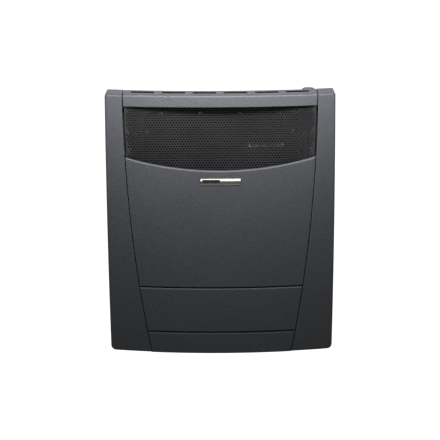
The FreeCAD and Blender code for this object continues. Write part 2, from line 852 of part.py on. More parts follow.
def rear_deck():
    """Lower deck behind the crossbar, which carries the knob's bezel and the igniter."""
    under = REAR_DECK_Z - SHEET
    wall_y = -size("chassis_sheet") - SEAT
    upstand_radius = profile_radius(TOP - size("deck_hem"), size("deck_depth") - SHEET) + SEAT
    in_front_of_wall = slab((-HALF_WIDTH, -DEPTH, BOTTOM), (HALF_WIDTH, wall_y, TOP))
    plate = between_seams(SEAT - HALF_GAP, under, REAR_DECK_Z)
    plate = plate.common(ring(AXIS_Y - MARGIN / 2, upstand_radius + SHEET, under, REAR_DECK_Z))
    inside_crossbar = between_seams(HALF_GAP + SHEET + SEAT, under, TOP - SHEET - SEAT)
    upstand = inside_crossbar.common(
        ring(upstand_radius, upstand_radius + SHEET, under, TOP - SHEET - SEAT)
    )
    flange = between_seams(SEAT - HALF_GAP, REAR_DECK_Z - size("rear_deck_flange"), REAR_DECK_Z)
    flange = flange.common(slab((-HALF_WIDTH, wall_y - SHEET, BOTTOM), (HALF_WIDTH, wall_y, TOP)))
    deck = plate.fuse([upstand, flange]).common(in_front_of_wall)
    spindle_hole = Part.makeCylinder(
        size("spindle_hole_radius"),
        MARGIN,
        Vector(size("knob_offset"), -size("knob_setback"), under - SHEET),
    )
    igniter_hole = Part.makeCylinder(
        size("igniter_radius") + size("running_clearance"),
        MARGIN,
        Vector(size("igniter_offset"), -size("igniter_setback"), under - SHEET),
    )
    return deck.cut(spindle_hole).cut(igniter_hole).removeSplitter()


# ---------------------------------------------------------------- front panels and rails
def panel_shell(field, low, ledge):
    """A shallow pan: a curved front, returns all round and lips that seat on the rails.

    field(inset) gives the panel's prism in the front view, and ledge its top edge's radius.
    """
    outer = field(0).common(front_band(0, RETURN))
    is_top = lambda x, z: abs(x) < 1 and z > low + 1
    outer = outer.makeFillet(ledge, front_edges(outer, 0, is_top))
    sides_and_foot = lambda x, z: abs(x) > HALF_WIDTH / 2 or z < low + 0.1
    outer = outer.makeFillet(size("seam_edge_radius"), front_edges(outer, 0, sides_and_foot))
    inner = field(SHEET).common(front_band(SHEET, RETURN - SHEET))
    inner = inner.makeFillet(ledge - SHEET, front_edges(inner, SHEET, is_top))
    rear_opening = field(SHEET + LIP).common(front_band(RETURN - 2 * SHEET, RETURN + SHEET))
    return outer.cut(inner).cut(rear_opening)


def rail_heights():
    return {
        "upper_rail": BOTTOM + size("upper_rail_height"),
        "middle_rail": MIDDLE_SEAM_Z,
        "lower_rail": LOWER_SEAM_Z,
    }


def panel_screw_points(z):
    """Where screws hold the panels' top and bottom lips to the rail behind a seam."""
    reach = size("seam_opening") / 2 + LIP / 2 + SHEET
    points = []
    for height in (z - reach, z + reach):
        for x in (-seam_half(z) / 2, seam_half(z) / 2):
            points.append(Vector(x, surface_y(x, height, RETURN), height))
    return points


def seam_screw_points():
    return panel_screw_points(MIDDLE_SEAM_Z) + panel_screw_points(LOWER_SEAM_Z)


def holed(shape, points):
    """A sheet with a screw hole square to it at each point."""
    holes = [screw_hole(p, surface_normal(p.x, p.z)) for p in points]
    return shape.cut(Part.makeCompound(holes))


def front_panel():
    low = MIDDLE_SEAM_Z + size("seam_opening") / 2

    def field(inset):
        return between_seams(HALF_GAP + inset, low + inset, TOP).common(below_panel_arc(inset))

    shell = panel_shell(field, low, size("ledge_radius"))
    top_strip = below_panel_arc(-MARGIN).cut(below_panel_arc(size("grille_lap") + 2 * SHEET))
    clear_of_grille = top_strip.common(front_band(size("panel_lip_depth"), RETURN + MARGIN / 2))
    return holed(shell.cut(clear_of_grille), seam_screw_points())


def plain_panel(low, high):
    def field(inset):
        return between_seams(HALF_GAP + inset, low + inset, high - inset)

    return holed(panel_shell(field, low, size("ledge_radius")), seam_screw_points())


def cross_rail(z):
    """Channel section rail that runs behind the panels from column lip to column lip."""
    low, high = z - size("rail_height") / 2, z + size("rail_height") / 2
    wall = size("rail_sheet")
    reach = -HALF_GAP - LIP
    back = RAIL_FRONT + size("rail_depth")
    rail = between_seams(reach, low, high).common(front_band(RAIL_FRONT, back))
    hollow = between_seams(reach - MARGIN, low + wall, high - wall)
    rail = rail.cut(hollow.common(front_band(RAIL_BACK, back + wall)))
    lips = column_lip_points()
    lips += [Vector(-p.x, p.y, p.z) for p in lips]
    return holed(rail, lips + seam_screw_points())


# ---------------------------------------------------------------- outlet grille
GRILLE_FRONT = -DEPTH + size("grille_setback")
GRILLE_BACK = GRILLE_FRONT + size("grille_sheet")


def bracket_heights():
    low = BOTTOM + size("bracket_low_height")
    return low, CROSSBAR_Z - SHEET


def rivet_points():
    low, high = bracket_heights()
    inset = size("grille_side_gap") + size("bracket_tab") / 2 + SHEET
    heights = [low + share * (high - low) for share in RIVET_SHARES]
    return [Vector(seam_half(z, inset), GRILLE_FRONT, z) for z in heights]


def grille():
    """Flat perforated sheet between the crossbar and the front panel's arched edge."""
    inset = size("grille_side_gap")
    lap = size("grille_lap")
    radius, border = size("hole_radius"), size("hole_border")
    high = CROSSBAR_Z + lap
    field = between_seams(inset, BOTTOM, high).cut(below_panel_arc(lap))
    plate = field.common(slab((-HALF_WIDTH, GRILLE_FRONT, BOTTOM), (HALF_WIDTH, GRILLE_BACK, TOP)))
    is_front = lambda f: f.BoundBox.YLength < 0.01 and f.BoundBox.YMax < GRILLE_FRONT + 0.01
    face = next(f for f in plate.Faces if is_front(f))
    rivets = rivet_points() + [Vector(-p.x, p.y, p.z) for p in rivet_points()]
    rivet_room = size("rivet_radius") + radius + SHEET / 2
    circles = [Part.makeCircle(size("rivet_radius"), p, Vector(0, -1, 0)) for p in rivets]
    row = 0
    z = CROSSBAR_Z
    while z > PANEL_TOP_Z - lap:
        half = seam_half(z, inset + border + radius)
        shift = size("hole_pitch") / 2 * (row % 2)
        reach = int(half / size("hole_pitch")) + 1
        for k in range(-reach, reach + 1):
            centre = Vector(k * size("hole_pitch") + shift, GRILLE_FRONT, z)
            inside = abs(centre.x) < half and z - radius > panel_top_z(centre.x) - lap + border
            if inside and all(centre.distanceToPoint(p) > rivet_room for p in rivets):
                circles.append(Part.makeCircle(radius, centre, Vector(0, -1, 0)))
        row += 1
        z -= size("hole_row_pitch")
    wires = [face.OuterWire] + [Part.Wire([circle]) for circle in circles]
    return Part.Face(wires).extrude(Vector(0, GRILLE_BACK - GRILLE_FRONT, 0))


def grille_bracket():
    """Z section strip that carries the grille's right edge from the column's lip."""
    low, high = bracket_heights()
    near = size("grille_side_gap") + SHEET
    far = near + size("bracket_tab")
    front_tab = beside_seam(1, near, far, low, high)
    front_tab = front_tab.common(slab((0, GRILLE_BACK, BOTTOM), (HALF_WIDTH, GRILLE_BACK + SHEET, TOP)))
    web = beside_seam(1, near, near + SHEET, low, high).common(front_band(0, RAIL_FRONT + SHEET))
    web = web.common(slab((0, GRILLE_BACK, BOTTOM), (HALF_WIDTH, 0, TOP)))
    rear_tab = beside_seam(1, -HALF_GAP - LIP, near + SHEET, low, SKIRT_Z - SEAT)
    rear_tab = rear_tab.common(front_band(RAIL_FRONT, RAIL_FRONT + SHEET))
    return front_tab.fuse([web, rear_tab]).removeSplitter()


# ---------------------------------------------------------------- badge
def badge_outline(x, z, width, height, radius):
    """A rectangle with rounded corners in the front view, about a centre."""
    low = (x - width / 2, -DEPTH - MARGIN, z - height / 2)
    solid = slab(low, (x + width / 2, 0, z + height / 2))
    return solid.makeFillet(radius, [e for e in solid.Edges if e.BoundBox.YLength > DEPTH])


def badge():
    """Plain badge plate on the front panel, with a wide bevel along its lower edge."""
    rise = size("badge_thickness")
    plate = badge_outline(0, BADGE_Z, size("badge_width"), size("badge_height"), 2 * SHEET)
    plate = plate.common(front_band(-rise, 0))
    low = BADGE_Z - size("badge_height") / 2
    face_y, bevel_z = surface_y(0, low, -rise), low + size("badge_bevel")
    foot_y = surface_y(0, low, -SHEET / 2)
    wedge = [(face_y - rise, low - rise), (foot_y, low - rise), (foot_y, low), (face_y, bevel_z)]
    wedge += [(face_y - rise, bevel_z), wedge[0]]
    return plate.cut(turned_solid(Part.makePolygon([Vector(0, y, z) for y, z in wedge]).Edges))


def badge_inlay():
    """Plain dark inlay on the left half of the badge."""
    rise = size("badge_thickness")
    height = size("inlay_height")
    middle = BADGE_Z + size("inlay_lift")
    plate = badge_outline(-size("inlay_offset"), middle, size("inlay_width"), height, height / 2 - SHEET)
    return plate.common(front_band(-rise - size("inlay_rise"), -rise))


# ---------------------------------------------------------------- building the casing
column_shape = right_column()
feature("left_column", mirrored(column_shape))
feature("right_column", column_shape.cut(gas_opening()))
feature("top_crossbar", crossbar())
feature("rear_deck", rear_deck())
feature("front_panel", front_panel())
feature(
    "middle_panel",
    plain_panel(LOWER_SEAM_Z + size("seam_opening") / 2, MIDDLE_SEAM_Z - size("seam_opening") / 2),
)
feature("lower_panel", plain_panel(BOTTOM, LOWER_SEAM_Z - size("seam_opening") / 2))
for rail_name, rail_z in rail_heights().items():
    feature(rail_name, cross_rail(rail_z))
feature("outlet_grille", grille())
bracket_shape = grille_bracket()
for point in rivet_points():
    hole_start = point - Vector(0, SHEET, 0)
    bracket_shape = bracket_shape.cut(
        Part.makeCylinder(size("rivet_radius"), 6 * SHEET, hole_start, Vector(0, 1, 0))
    )
feature("grille_brackets", Part.makeCompound([bracket_shape, mirrored(bracket_shape)]))
feature("badge_plate", badge())
feature("badge_inlay", badge_inlay())


# ---------------------------------------------------------------- fasteners of the casing
def rail_screws():
    """Screws from behind the cross rails into the columns' and the panels' lips."""
    points = column_lip_points() + [Vector(-p.x, p.y, p.z) for p in column_lip_points()]
    screws = []
    for point in points + seam_screw_points():
        normal = surface_normal(point.x, point.z)
        seat = point - normal * (RAIL_BACK - RETURN)
        length = RAIL_BACK - RETURN + 3 * SHEET
        screws.append(screw(seat, normal, length, size("screw_head_height"), size("screw_head_radius")))
    return Part.makeCompound(screws)


def side_screws(points, length, head_height):
    """Screws that run inwards from the points on the right side, and their mirror images."""
    inwards = Vector(-1, 0, 0)
    radius = size("screw_head_radius")
    screws = [screw(point, inwards, length, head_height, radius) for point in points]
    return Part.makeCompound(screws + [mirrored(shape) for shape in screws])


def grille_rivets():
    """Pop rivets that hold the grille to its brackets."""
    radius = size("rivet_radius")
    shapes = []
    for point in rivet_points():
        through = Part.makeCylinder(radius, GRILLE_BACK + 2 * SHEET - GRILLE_FRONT, point, Vector(0, 1, 0))
        head = Part.makeCylinder(2 * radius, SHEET / 2, point, Vector(0, -1, 0))
        shapes.append(through.fuse(head))
    return Part.makeCompound(shapes + [mirrored(shape) for shape in shapes])


feature("rail_screws", rail_screws())
feature(
    "crossbar_screws",
    side_screws(crossbar_screw_points(), 4 * SHEET + 2 * HALF_GAP, size("screw_head_height")),
)
feature("casing_screws", side_screws(casing_screw_points(), 4 * SHEET, size("casing_screw_head")))
feature("grille_rivets", grille_rivets())

# ---------------------------------------------------------------- chassis on the wall
chassis_low = f"({bottom} + chassis_bottom_rise)"
chassis_high = f"({top} - chassis_top_drop)"
chassis_half = "(casing_width / 2 - casing_sheet - seat_gap)"
chassis_inner = f"({chassis_half} - chassis_sheet)"


def back_plate():
    """Wall plate with side flanges, four wall holes and the flue's hole."""
    body = new_body("back_plate")
    plate = new_sketch(body, "back_plate_outline")
    draw_polygon(
        plate,
        [
            (f"0 - {chassis_half}", chassis_low),
            (chassis_half, chassis_low),
            (chassis_half, chassis_high),
            (f"0 - {chassis_half}", chassis_high),
        ],
    )
    for across in ("wall_hole_half_x", "0 - wall_hole_half_x"):
        for up in ("wall_hole_half_z", "0 - wall_hole_half_z"):
            draw_circle(plate, across, up, "wall_hole_radius")
    draw_circle(plate, "0", flue_z, "intake_radius + intake_shoulder + seat_gap")
    pad(body, plate, "back_plate_sheet", "chassis_sheet")
    flanges = new_sketch(body, "back_plate_flanges")
    for near, far in ((chassis_inner, chassis_half), (f"0 - {chassis_half}", f"0 - {chassis_inner}")):
        draw_polygon(
            flanges,
            [(near, chassis_low), (far, chassis_low), (far, chassis_high), (near, chassis_high)],
        )
    pad(body, flanges, "back_plate_sides", "chassis_flange")
    return body


flange_holes = [
    rod(
        f"flange_hole_{share + 1}",
        "screw_radius + running_clearance",
        ("0 - casing_width", "0 - (wall_clearance + chassis_flange) / 2", f"wall_hole_half_z * {share}"),
        "2 * casing_width",
        "X",
    )
    for share in (-1, 0, 1)
]
node(cut("pierced_back_plate", back_plate(), flange_holes), "back_plate")


def angle_sheet(name, corner_low, corner_high, foot_low, foot_high):
    """Two flat walls of one bent sheet."""
    web = block(name + "_web", corner_low, corner_high)
    return join(name, [web, block(name + "_foot", foot_low, foot_high)])


shield_low = f"({bottom} + shield_low_height)"
shield_high = f"({bottom} + shield_high_height)"
node(
    angle_sheet(
        "shield_sheets",
        ("shield_offset", "0 - shield_depth", shield_low),
        ("shield_offset + chassis_sheet", plate_front, shield_high),
        ("shield_offset", "0 - 2 * chassis_sheet", shield_low),
        ("shield_offset + chassis_flange", plate_front, shield_high),
    ),
    "heat_shield",
)


def air_deflector():
    """Inclined sheet that turns the warm air forward, with a foot on the wall plate."""
    wall_y = -size("chassis_sheet")
    front_y = -size("deflector_depth")
    seat_z = CHAMBER_HIGH + size("chamber_flange") - SHEET
    foot_z = seat_z - size("chassis_flange")
    front_z = REAR_DECK_Z - SHEET - 3 * SHEET
    corners = [
        (wall_y, foot_z),
        (wall_y, seat_z),
        (front_y, front_z),
        (front_y, front_z - SHEET),
        (wall_y - SHEET, seat_z - SHEET),
        (wall_y - SHEET, foot_z),
    ]
    half = size("deflector_half_width")
    outline = Part.makePolygon([Vector(-half, y, z) for y, z in corners + corners[:1]])
    return Part.Face(outline).extrude(Vector(2 * half, 0, 0))


feature("air_deflector", air_deflector())


# ---------------------------------------------------------------- combustion chamber
def rim(name, reach, y_low, y_high, corner):
    """A rounded rectangular slab as large as the chamber's front view plus a reach all round."""
    half = f"(chamber_half_width + {reach})"
    slab_box = block(
        name + "_block",
        (f"0 - {half}", y_low, f"{chamber_low} - ({reach})"),
        (half, y_high, f"{chamber_high} + {reach}"),
    )
    return rounded(name, slab_box, corner, runs_along(Vector(0, 1, 0)))


CORNER = size("chamber_corner")
INNER_CORNER = CORNER - size("chamber_sheet")
FLANGE_CORNER = CORNER + size("chamber_flange")
window_low = f"({window_z} - window_opening / 2)"
air_port_low = f"({chamber_low} + air_port_rise)"


def flange_screw_places():
    """(x, z) expressions of the screws round the chamber's flange."""
    places = []
    for share in FLANGE_SCREW_SHARES:
        for edge in (f"{chamber_low} - chamber_flange / 2", f"{chamber_high} + chamber_flange / 2"):
            places.append((f"chamber_half_width * {share}", edge))
        height = f"({chamber_low} + {chamber_high}) / 2 + ({chamber_high} - {chamber_low}) / 2 * {share}"
        for side in (-1, 1):
            places.append((f"(chamber_half_width + chamber_flange / 2) * {side}", height))
    return places


def flange_rods(name, radius, y_low, y_length):
    """One rod at each flange screw, from y_low towards the wall."""
    return [
        rod(f"{name}_{number}", radius, (x, y_low, z), y_length, "Y")
        for number, (x, z) in enumerate(flange_screw_places())
    ]


def flange_holes_for(name):
    start = f"{split_front} - 4 * chamber_sheet"
    length = "8 * chamber_sheet + gasket_thickness"
    return flange_rods(name, "screw_radius + running_clearance", start, length)


def chamber_rear():
    """Rear half of the chamber, with the flue outlet, the air port and the gas entries."""
    dish = rim("rear_dish", "0", split_back, "0 - chamber_back", CORNER)
    flange = rim("rear_flange", "chamber_flange", split_back, f"{split_back} + chamber_sheet", FLANGE_CORNER)
    hollow = rim(
        "rear_hollow",
        "(0 - chamber_sheet)",
        f"{split_back} - chamber_sheet",
        "0 - chamber_back - chamber_sheet",
        INNER_CORNER,
    )
    outlet = rod(
        "outlet_hole",
        "exhaust_radius + exhaust_shoulder + running_clearance",
        ("0", "0 - chamber_split", flue_z),
        "chamber_split",
        "Y",
    )
    air_port = block(
        "air_port",
        ("0 - air_port_half_width", "0 - chamber_split + 2 * chamber_sheet", air_port_low),
        ("air_port_half_width", "0", f"{air_port_low} + air_port_height"),
    )
    feed_hole = rod(
        "feed_hole",
        "feed_radius + running_clearance",
        (injector_x, burner_y, f"{chamber_low} - chamber_sheet"),
        "3 * chamber_sheet",
    )
    pilot_hole = block(
        "pilot_hole",
        (
            "pilot_offset - pilot_opening_edge",
            f"{thermo_y} - pilot_opening_edge",
            f"{chamber_low} - chamber_sheet",
        ),
        (
            f"{beside_pilot} + pilot_opening_edge",
            f"{spark_y} + pilot_opening_edge",
            f"{chamber_low} + 2 * chamber_sheet",
        ),
    )
    shell = join("rear_pressing", [dish, flange])
    tools = [hollow, outlet, air_port, feed_hole, pilot_hole] + flange_holes_for("rear_flange_hole")
    return cut("rear_shell", shell, tools)


def ribs(name, radius, wall):
    """Beads across the front shell; the one beside the sight window is shorter."""
    beads = []
    for k in range(int(size("rib_count"))):
        z = f"{chamber_high} - rib_top_drop - {k} * rib_pitch"
        start = "(0 - chamber_half_width + rib_end_gap)"
        rib_z = CHAMBER_HIGH - size("rib_top_drop") - k * size("rib_pitch")
        gap = abs(rib_z - BOTTOM - size("window_height"))
        beside_window = gap < size("window_frame_height") / 2 + size("rib_radius")
        end = "(window_offset - window_frame_length / 2 - rib_radius)"
        end = end if beside_window else "(chamber_half_width - rib_end_gap)"
        length = f"{end} - {start} - 2 * ({wall})"
        beads.append(rod(f"{name}_{k}", radius, (f"{start} + {wall}", "0 - chamber_front", z), length, "X"))
    return beads


def window_block(name, length, height, y_low, y_high):
    """A block centred on the sight window."""
    return block(
        name,
        (f"window_offset - ({length}) / 2", y_low, f"{window_z} - ({height}) / 2"),
        (f"window_offset + ({length}) / 2", y_high, f"{window_z} + ({height}) / 2"),
    )


def window_rods(name, radius, y_low, length):
    """One rod at each end of the sight window's frame."""
    reach = "(window_frame_length / 2 - window_frame_height / 2)"
    return [
        rod(f"{name}_{number}", radius, (f"window_offset {sign} {reach}", y_low, window_z), length, "Y")
        for number, sign in enumerate("-+")
    ]


frame_front = "(0 - chamber_front - window_frame_thickness)"
pane_length = "(window_length + window_opening)"
pane_height = "(window_opening + window_frame_thickness)"


def chamber_front():
    """Ribbed front half of the chamber, with the opening of the sight window."""
    dish = rim("front_dish", "0", "0 - chamber_front", split_front, CORNER)
    flange_front = f"{split_front} - chamber_sheet"
    flange = rim("front_flange", "chamber_flange", flange_front, split_front, FLANGE_CORNER)
    hollow = rim(
        "front_hollow",
        "(0 - chamber_sheet)",
        "0 - chamber_front + chamber_sheet",
        f"{split_front} + chamber_sheet",
        INNER_CORNER,
    )
    opening = window_block(
        "window_hole",
        f"{pane_length} + 2 * running_clearance",
        f"{pane_height} + 2 * running_clearance",
        "0 - chamber_front - chamber_sheet",
        "0 - chamber_front + 2 * chamber_sheet",
    )
    tools = [hollow, opening] + ribs("rib_hollow", "rib_radius - chamber_sheet", "chamber_sheet")
    tools += flange_holes_for("front_flange_hole")
    tools += window_rods(
        "window_screw_hole",
        "screw_radius + running_clearance",
        "0 - chamber_front - chamber_sheet",
        "3 * chamber_sheet",
    )
    return cut("front_shell", join("front_pressing", [dish, flange] + ribs("rib", "rib_radius", "0")), tools)


node(chamber_rear(), "chamber_rear_shell")
node(chamber_front(), "chamber_front_shell")
node(
    cut(
        "gasket_ring",
        rim("gasket_sheet", "chamber_flange", split_front, split_back, FLANGE_CORNER),
        [
            rim(
                "gasket_window",
                "seat_gap",
                f"{split_front} - overrun",
                f"{split_back} + overrun",
                CORNER,
            )
        ]
        + flange_holes_for("gasket_hole"),
    ),
    "chamber_gasket",
)
shanks = flange_rods(
    "flange_shank",
    "screw_radius",
    f"{split_front} - chamber_sheet",
    "4 * chamber_sheet + gasket_thickness",
)
heads = flange_rods(
    "flange_head",
    "screw_head_radius",
    f"{split_front} - chamber_sheet - screw_head_height",
    "screw_head_height",
)
flange_screws = [
    join(f"flange_screw_{number}", list(pair)) for number, pair in enumerate(zip(shanks, heads))
]
node(group("chamber_screw_set", flange_screws), "chamber_screws")

# ---------------------------------------------------------------- sight window
frame_plate = window_block(
    "frame_plate", "window_frame_length", "window_frame_height", frame_front, "0 - chamber_front"
)
frame_opening = window_block(
    "frame_opening",
    "window_length",
    "window_opening",
    f"{frame_front} - chamber_sheet",
    "0 - chamber_front + chamber_sheet",
)
frame_screw_holes = window_rods(
    "frame_screw_hole",
    "screw_radius + running_clearance",
    f"{frame_front} - chamber_sheet",
    "window_frame_thickness + 2 * chamber_sheet",
)
node(cut("window_bezel", frame_plate, [frame_opening] + frame_screw_holes), "sight_window_frame")
node(
    window_block(
        "window_pane", pane_length, pane_height, "0 - chamber_front", "0 - chamber_front + chamber_sheet"
    ),
    "sight_window_glass",
)
window_heads = window_rods(
    "window_head", "screw_head_radius", f"{frame_front} - screw_head_height", "screw_head_height"
)
window_shanks = window_rods(
    "window_shank", "screw_radius", frame_front, "window_frame_thickness + 3 * chamber_sheet"
)
window_screws = [
    join(f"window_screw_{number}", list(pair)) for number, pair in enumerate(zip(window_heads, window_shanks))
]
node(group("window_screw_set", window_screws), "sight_window_screws")

# ---------------------------------------------------------------- flue and air duct
def collar(label, radius, shoulder, seat, reach, sheet_side):
    """Tube through the wall, with a flange on its seat and a shoulder up to the wall plane."""
    wide = f"({radius} + {shoulder})"
    start = ("0", f"{seat} - collar_sheet", flue_z)
    flange = rod(label + "_flange", f"{wide} + collar_flange", start, "collar_sheet", "Y")
    thick = rod(label + "_shoulder", wide, start, f"collar_sheet - {seat}", "Y")
    pipe = rod(label + "_tube", radius, ("0", "0", flue_z), reach, "Y")
    bore = rod(
        label + "_bore",
        f"{radius} - {sheet_side}",
        ("0", f"{seat} - 2 * collar_sheet", flue_z),
        f"3 * collar_sheet - {seat} + {reach}",
        "Y",
    )
    return node(cut(label + "_pipe", join(label + "_outside", [flange, thick, pipe]), [bore]), label)


collar(
    "exhaust_collar",
    "exhaust_radius",
    "exhaust_shoulder",
    "(0 - chamber_back - chamber_sheet)",
    "exhaust_reach",
    "collar_sheet",
)
collar("intake_collar", "intake_radius", "intake_shoulder", plate_front, "intake_reach", "intake_sheet")


def air_duct():
    """Shallow duct that leads the outside air from the intake collar down to the chamber."""
    front = "(0 - chamber_back + seat_gap)"
    low, high = f"({chamber_low} + duct_rise)", f"({flue_z} + intake_radius + duct_margin)"
    outside = block(
        "duct_outside", ("0 - duct_half_width", front, low), ("duct_half_width", plate_front, high)
    )
    inside = block(
        "duct_inside",
        ("0 - duct_half_width + collar_sheet", f"{front} + collar_sheet", f"{low} + collar_sheet"),
        ("duct_half_width - collar_sheet", "0", f"{high} - collar_sheet"),
    )
    outlet = rod(
        "duct_outlet_hole",
        "exhaust_radius + exhaust_shoulder + seat_gap",
        ("0", f"{front} - overrun", flue_z),
        "chamber_back",
        "Y",
    )
    port = block(
        "duct_port",
        ("0 - air_port_half_width", f"{front} - overrun", air_port_low),
        ("air_port_half_width", f"{front} + 2 * collar_sheet", f"{air_port_low} + air_port_height"),
    )
    return cut("duct", outside, [inside, outlet, port])


node(air_duct(), "air_duct")


def stand_offs():
    """Four box section spacers that carry the chamber on the wall plate."""
    half_height = f"(({chamber_high} - {chamber_low}) / 2 - stand_off_width)"
    half = "stand_off_width / 2"
    back = "(0 - chamber_back)"
    spacers = []
    for number, (side, up) in enumerate(((-1, -1), (-1, 1), (1, -1), (1, 1))):
        x = f"(chamber_half_width - stand_off_width) * {side}"
        z = f"(({chamber_high} + {chamber_low}) / 2 + {half_height} * {up})"
        outside = block(
            f"spacer_{number}",
            (f"{x} - {half}", back, f"{z} - {half}"),
            (f"{x} + {half}", plate_front, f"{z} + {half}"),
        )
        inside = block(
            f"spacer_hollow_{number}",
            (f"{x} - {half} + chassis_sheet", f"{back} + chassis_sheet", f"{z} - stand_off_width"),
            (
                f"{x} + {half} - chassis_sheet",
                f"{plate_front} - chassis_sheet",
                f"{z} + stand_off_width",
            ),
        )
        spacers.append(cut(f"spacer_shell_{number}", outside, [inside]))
    return group("spacer_set", spacers)


node(stand_offs(), "chamber_stand_offs")

# ---------------------------------------------------------------- burner
floor = f"({chamber_low} + chamber_sheet)"
burner_start = "(burner_end - burner_length)"


def burner_tube():
    """Tube closed at its right end, with cross slots along its top for the flame."""
    outside = rod("burner_outside", "burner_radius", (burner_start, burner_y, burner_z), "burner_length", "X")
    inside = rod(
        "burner_inside",
        "burner_radius - burner_wall",
        (f"{burner_start} - burner_wall", burner_y, burner_z),
        "burner_length",
        "X",
    )
    slots = []
    for k in range(int(size("burner_slots"))):
        slot_x = f"({burner_start} + burner_length * ({k} + 3) / (burner_slots + 3))"
        slots.append(
            block(
                f"burner_slot_{k}",
                (slot_x, f"{burner_y} - burner_radius / 2", burner_z),
                (
                    f"{slot_x} + burner_slot_width",
                    f"{burner_y} + burner_radius / 2",
                    f"{burner_z} + 2 * burner_radius",
                ),
            )
        )
    return cut("burner_pipe", outside, [inside] + slots)


node(burner_tube(), "burner_tube")


def burner_saddles():
    saddles = []
    for number, share in enumerate(SADDLE_SHARES):
        x = f"({burner_start} + burner_length * {share})"
        post = block(
            f"saddle_post_{number}",
            (f"{x} - burner_foot / 2", f"{burner_y} - saddle_half", floor),
            (f"{x} + burner_foot / 2", f"{burner_y} + saddle_half", f"{burner_z} - saddle_drop"),
        )
        seat = rod(
            f"saddle_seat_{number}",
            "burner_radius",
            (f"{x} - burner_foot", burner_y, burner_z),
            "2 * burner_foot",
            "X",
        )
        saddles.append(cut(f"saddle_{number}", post, [seat]))
    return group("saddle_set", saddles)


node(burner_saddles(), "burner_saddles")
node(
    join(
        "injector_block",
        [
            block(
                "injector_body",
                (
                    f"{injector_x} - injector_half",
                    f"{burner_y} - injector_half",
                    f"{burner_z} - injector_half_height",
                ),
                (
                    f"{injector_x} + injector_half",
                    f"{burner_y} + injector_half",
                    f"{burner_z} + injector_half_height",
                ),
            ),
            rod(
                "injector_nozzle",
                "nozzle_radius",
                (injector_x, burner_y, burner_z),
                f"{burner_start} - {injector_x} + nozzle_entry",
                "X",
            ),
        ],
    ),
    "gas_injector",
)

# pilot group on its bracket, beside the closed end of the burner
pilot_plate = f"({floor} + pilot_plate_rise)"
probe_low = f"({pilot_plate} - probe_drop)"
node(
    rod(
        "pilot_head",
        "pilot_head_radius",
        ("pilot_offset", burner_y, f"{pilot_plate} - pilot_head_drop"),
        "pilot_head_length",
    ),
    "pilot_burner",
)
node(
    rod(
        "thermocouple_tip",
        "thermocouple_radius",
        (beside_pilot, thermo_y, probe_low),
        "thermocouple_length",
    ),
    "thermocouple",
)
node(
    join(
        "electrode_stack",
        [
            rod(
                "electrode_ceramic",
                "electrode_radius",
                (beside_pilot, spark_y, probe_low),
                "electrode_length",
            ),
            rod(
                "electrode_wire",
                "electrode_tip_radius",
                (beside_pilot, spark_y, f"{probe_low} + electrode_length"),
                "electrode_tip_length",
            ),
        ],
    ),
    "spark_electrode",
)


def pilot_bores(name, low, places):
    """Clearance bores through a plate, one for each (radius, x, y) of the pilot group."""
    return [
        rod(
            f"{name}_{number}",
            f"{radius} + running_clearance",
            (x, y, f"{low} - chamber_sheet"),
            "4 * chamber_sheet",
        )
        for number, (radius, x, y) in enumerate(places)
    ]


pilot_shelf = block(
    "pilot_shelf",
    ("pilot_offset - pilot_edge", f"{thermo_y} - pilot_edge", pilot_plate),
    (f"{beside_pilot} + pilot_edge", f"{spark_y} + pilot_edge", f"{pilot_plate} + chamber_sheet"),
)
pilot_leg = block(
    "pilot_leg",
    (f"{beside_pilot} + pilot_edge - chamber_sheet", f"{thermo_y} - pilot_edge + chamber_sheet", floor),
    (f"{beside_pilot} + pilot_edge", f"{spark_y} + pilot_edge", pilot_plate),
)
shelf_bores = pilot_bores(
    "pilot_shelf_hole",
    pilot_plate,
    (
        ("pilot_head_radius", "pilot_offset", burner_y),
        ("thermocouple_radius", beside_pilot, thermo_y),
        ("electrode_radius", beside_pilot, spark_y),
    ),
)
node(cut("pilot_mount", join("pilot_angle", [pilot_shelf, pilot_leg]), shelf_bores), "pilot_bracket")

plate_low = f"({chamber_low} - feed_plate_sheet)"
feed_plate = block(
    "feed_plate_metal",
    ("pilot_offset - feed_plate_edge", f"{split_back} + chamber_sheet + seat_gap", plate_low),
    (f"{beside_pilot} + feed_plate_edge", f"{spark_y} + feed_plate_edge", chamber_low),
)
feed_plate_bores = pilot_bores(
    "feed_plate_hole",
    plate_low,
    (
        ("pilot_radius", "pilot_offset", burner_y),
        ("lead_radius", beside_pilot, thermo_y),
        ("lead_radius", beside_pilot, spark_y),
    ),
)
node(cut("feed_plate_pierced", feed_plate, feed_plate_bores), "pilot_feed_plate")

gland_low = f"({chamber_low} - gland_height)"
gland_nut = rod("gland_nut", "feed_radius + gland_wall", (injector_x, burner_y, gland_low), "gland_height")
gland_bore = rod(
    "gland_bore",
    "feed_radius + running_clearance",
    (injector_x, burner_y, f"{gland_low} - overrun"),
    "gland_height + 2 * overrun",
)
node(cut("gland_ring", gland_nut, [gland_bore]), "feed_gland")

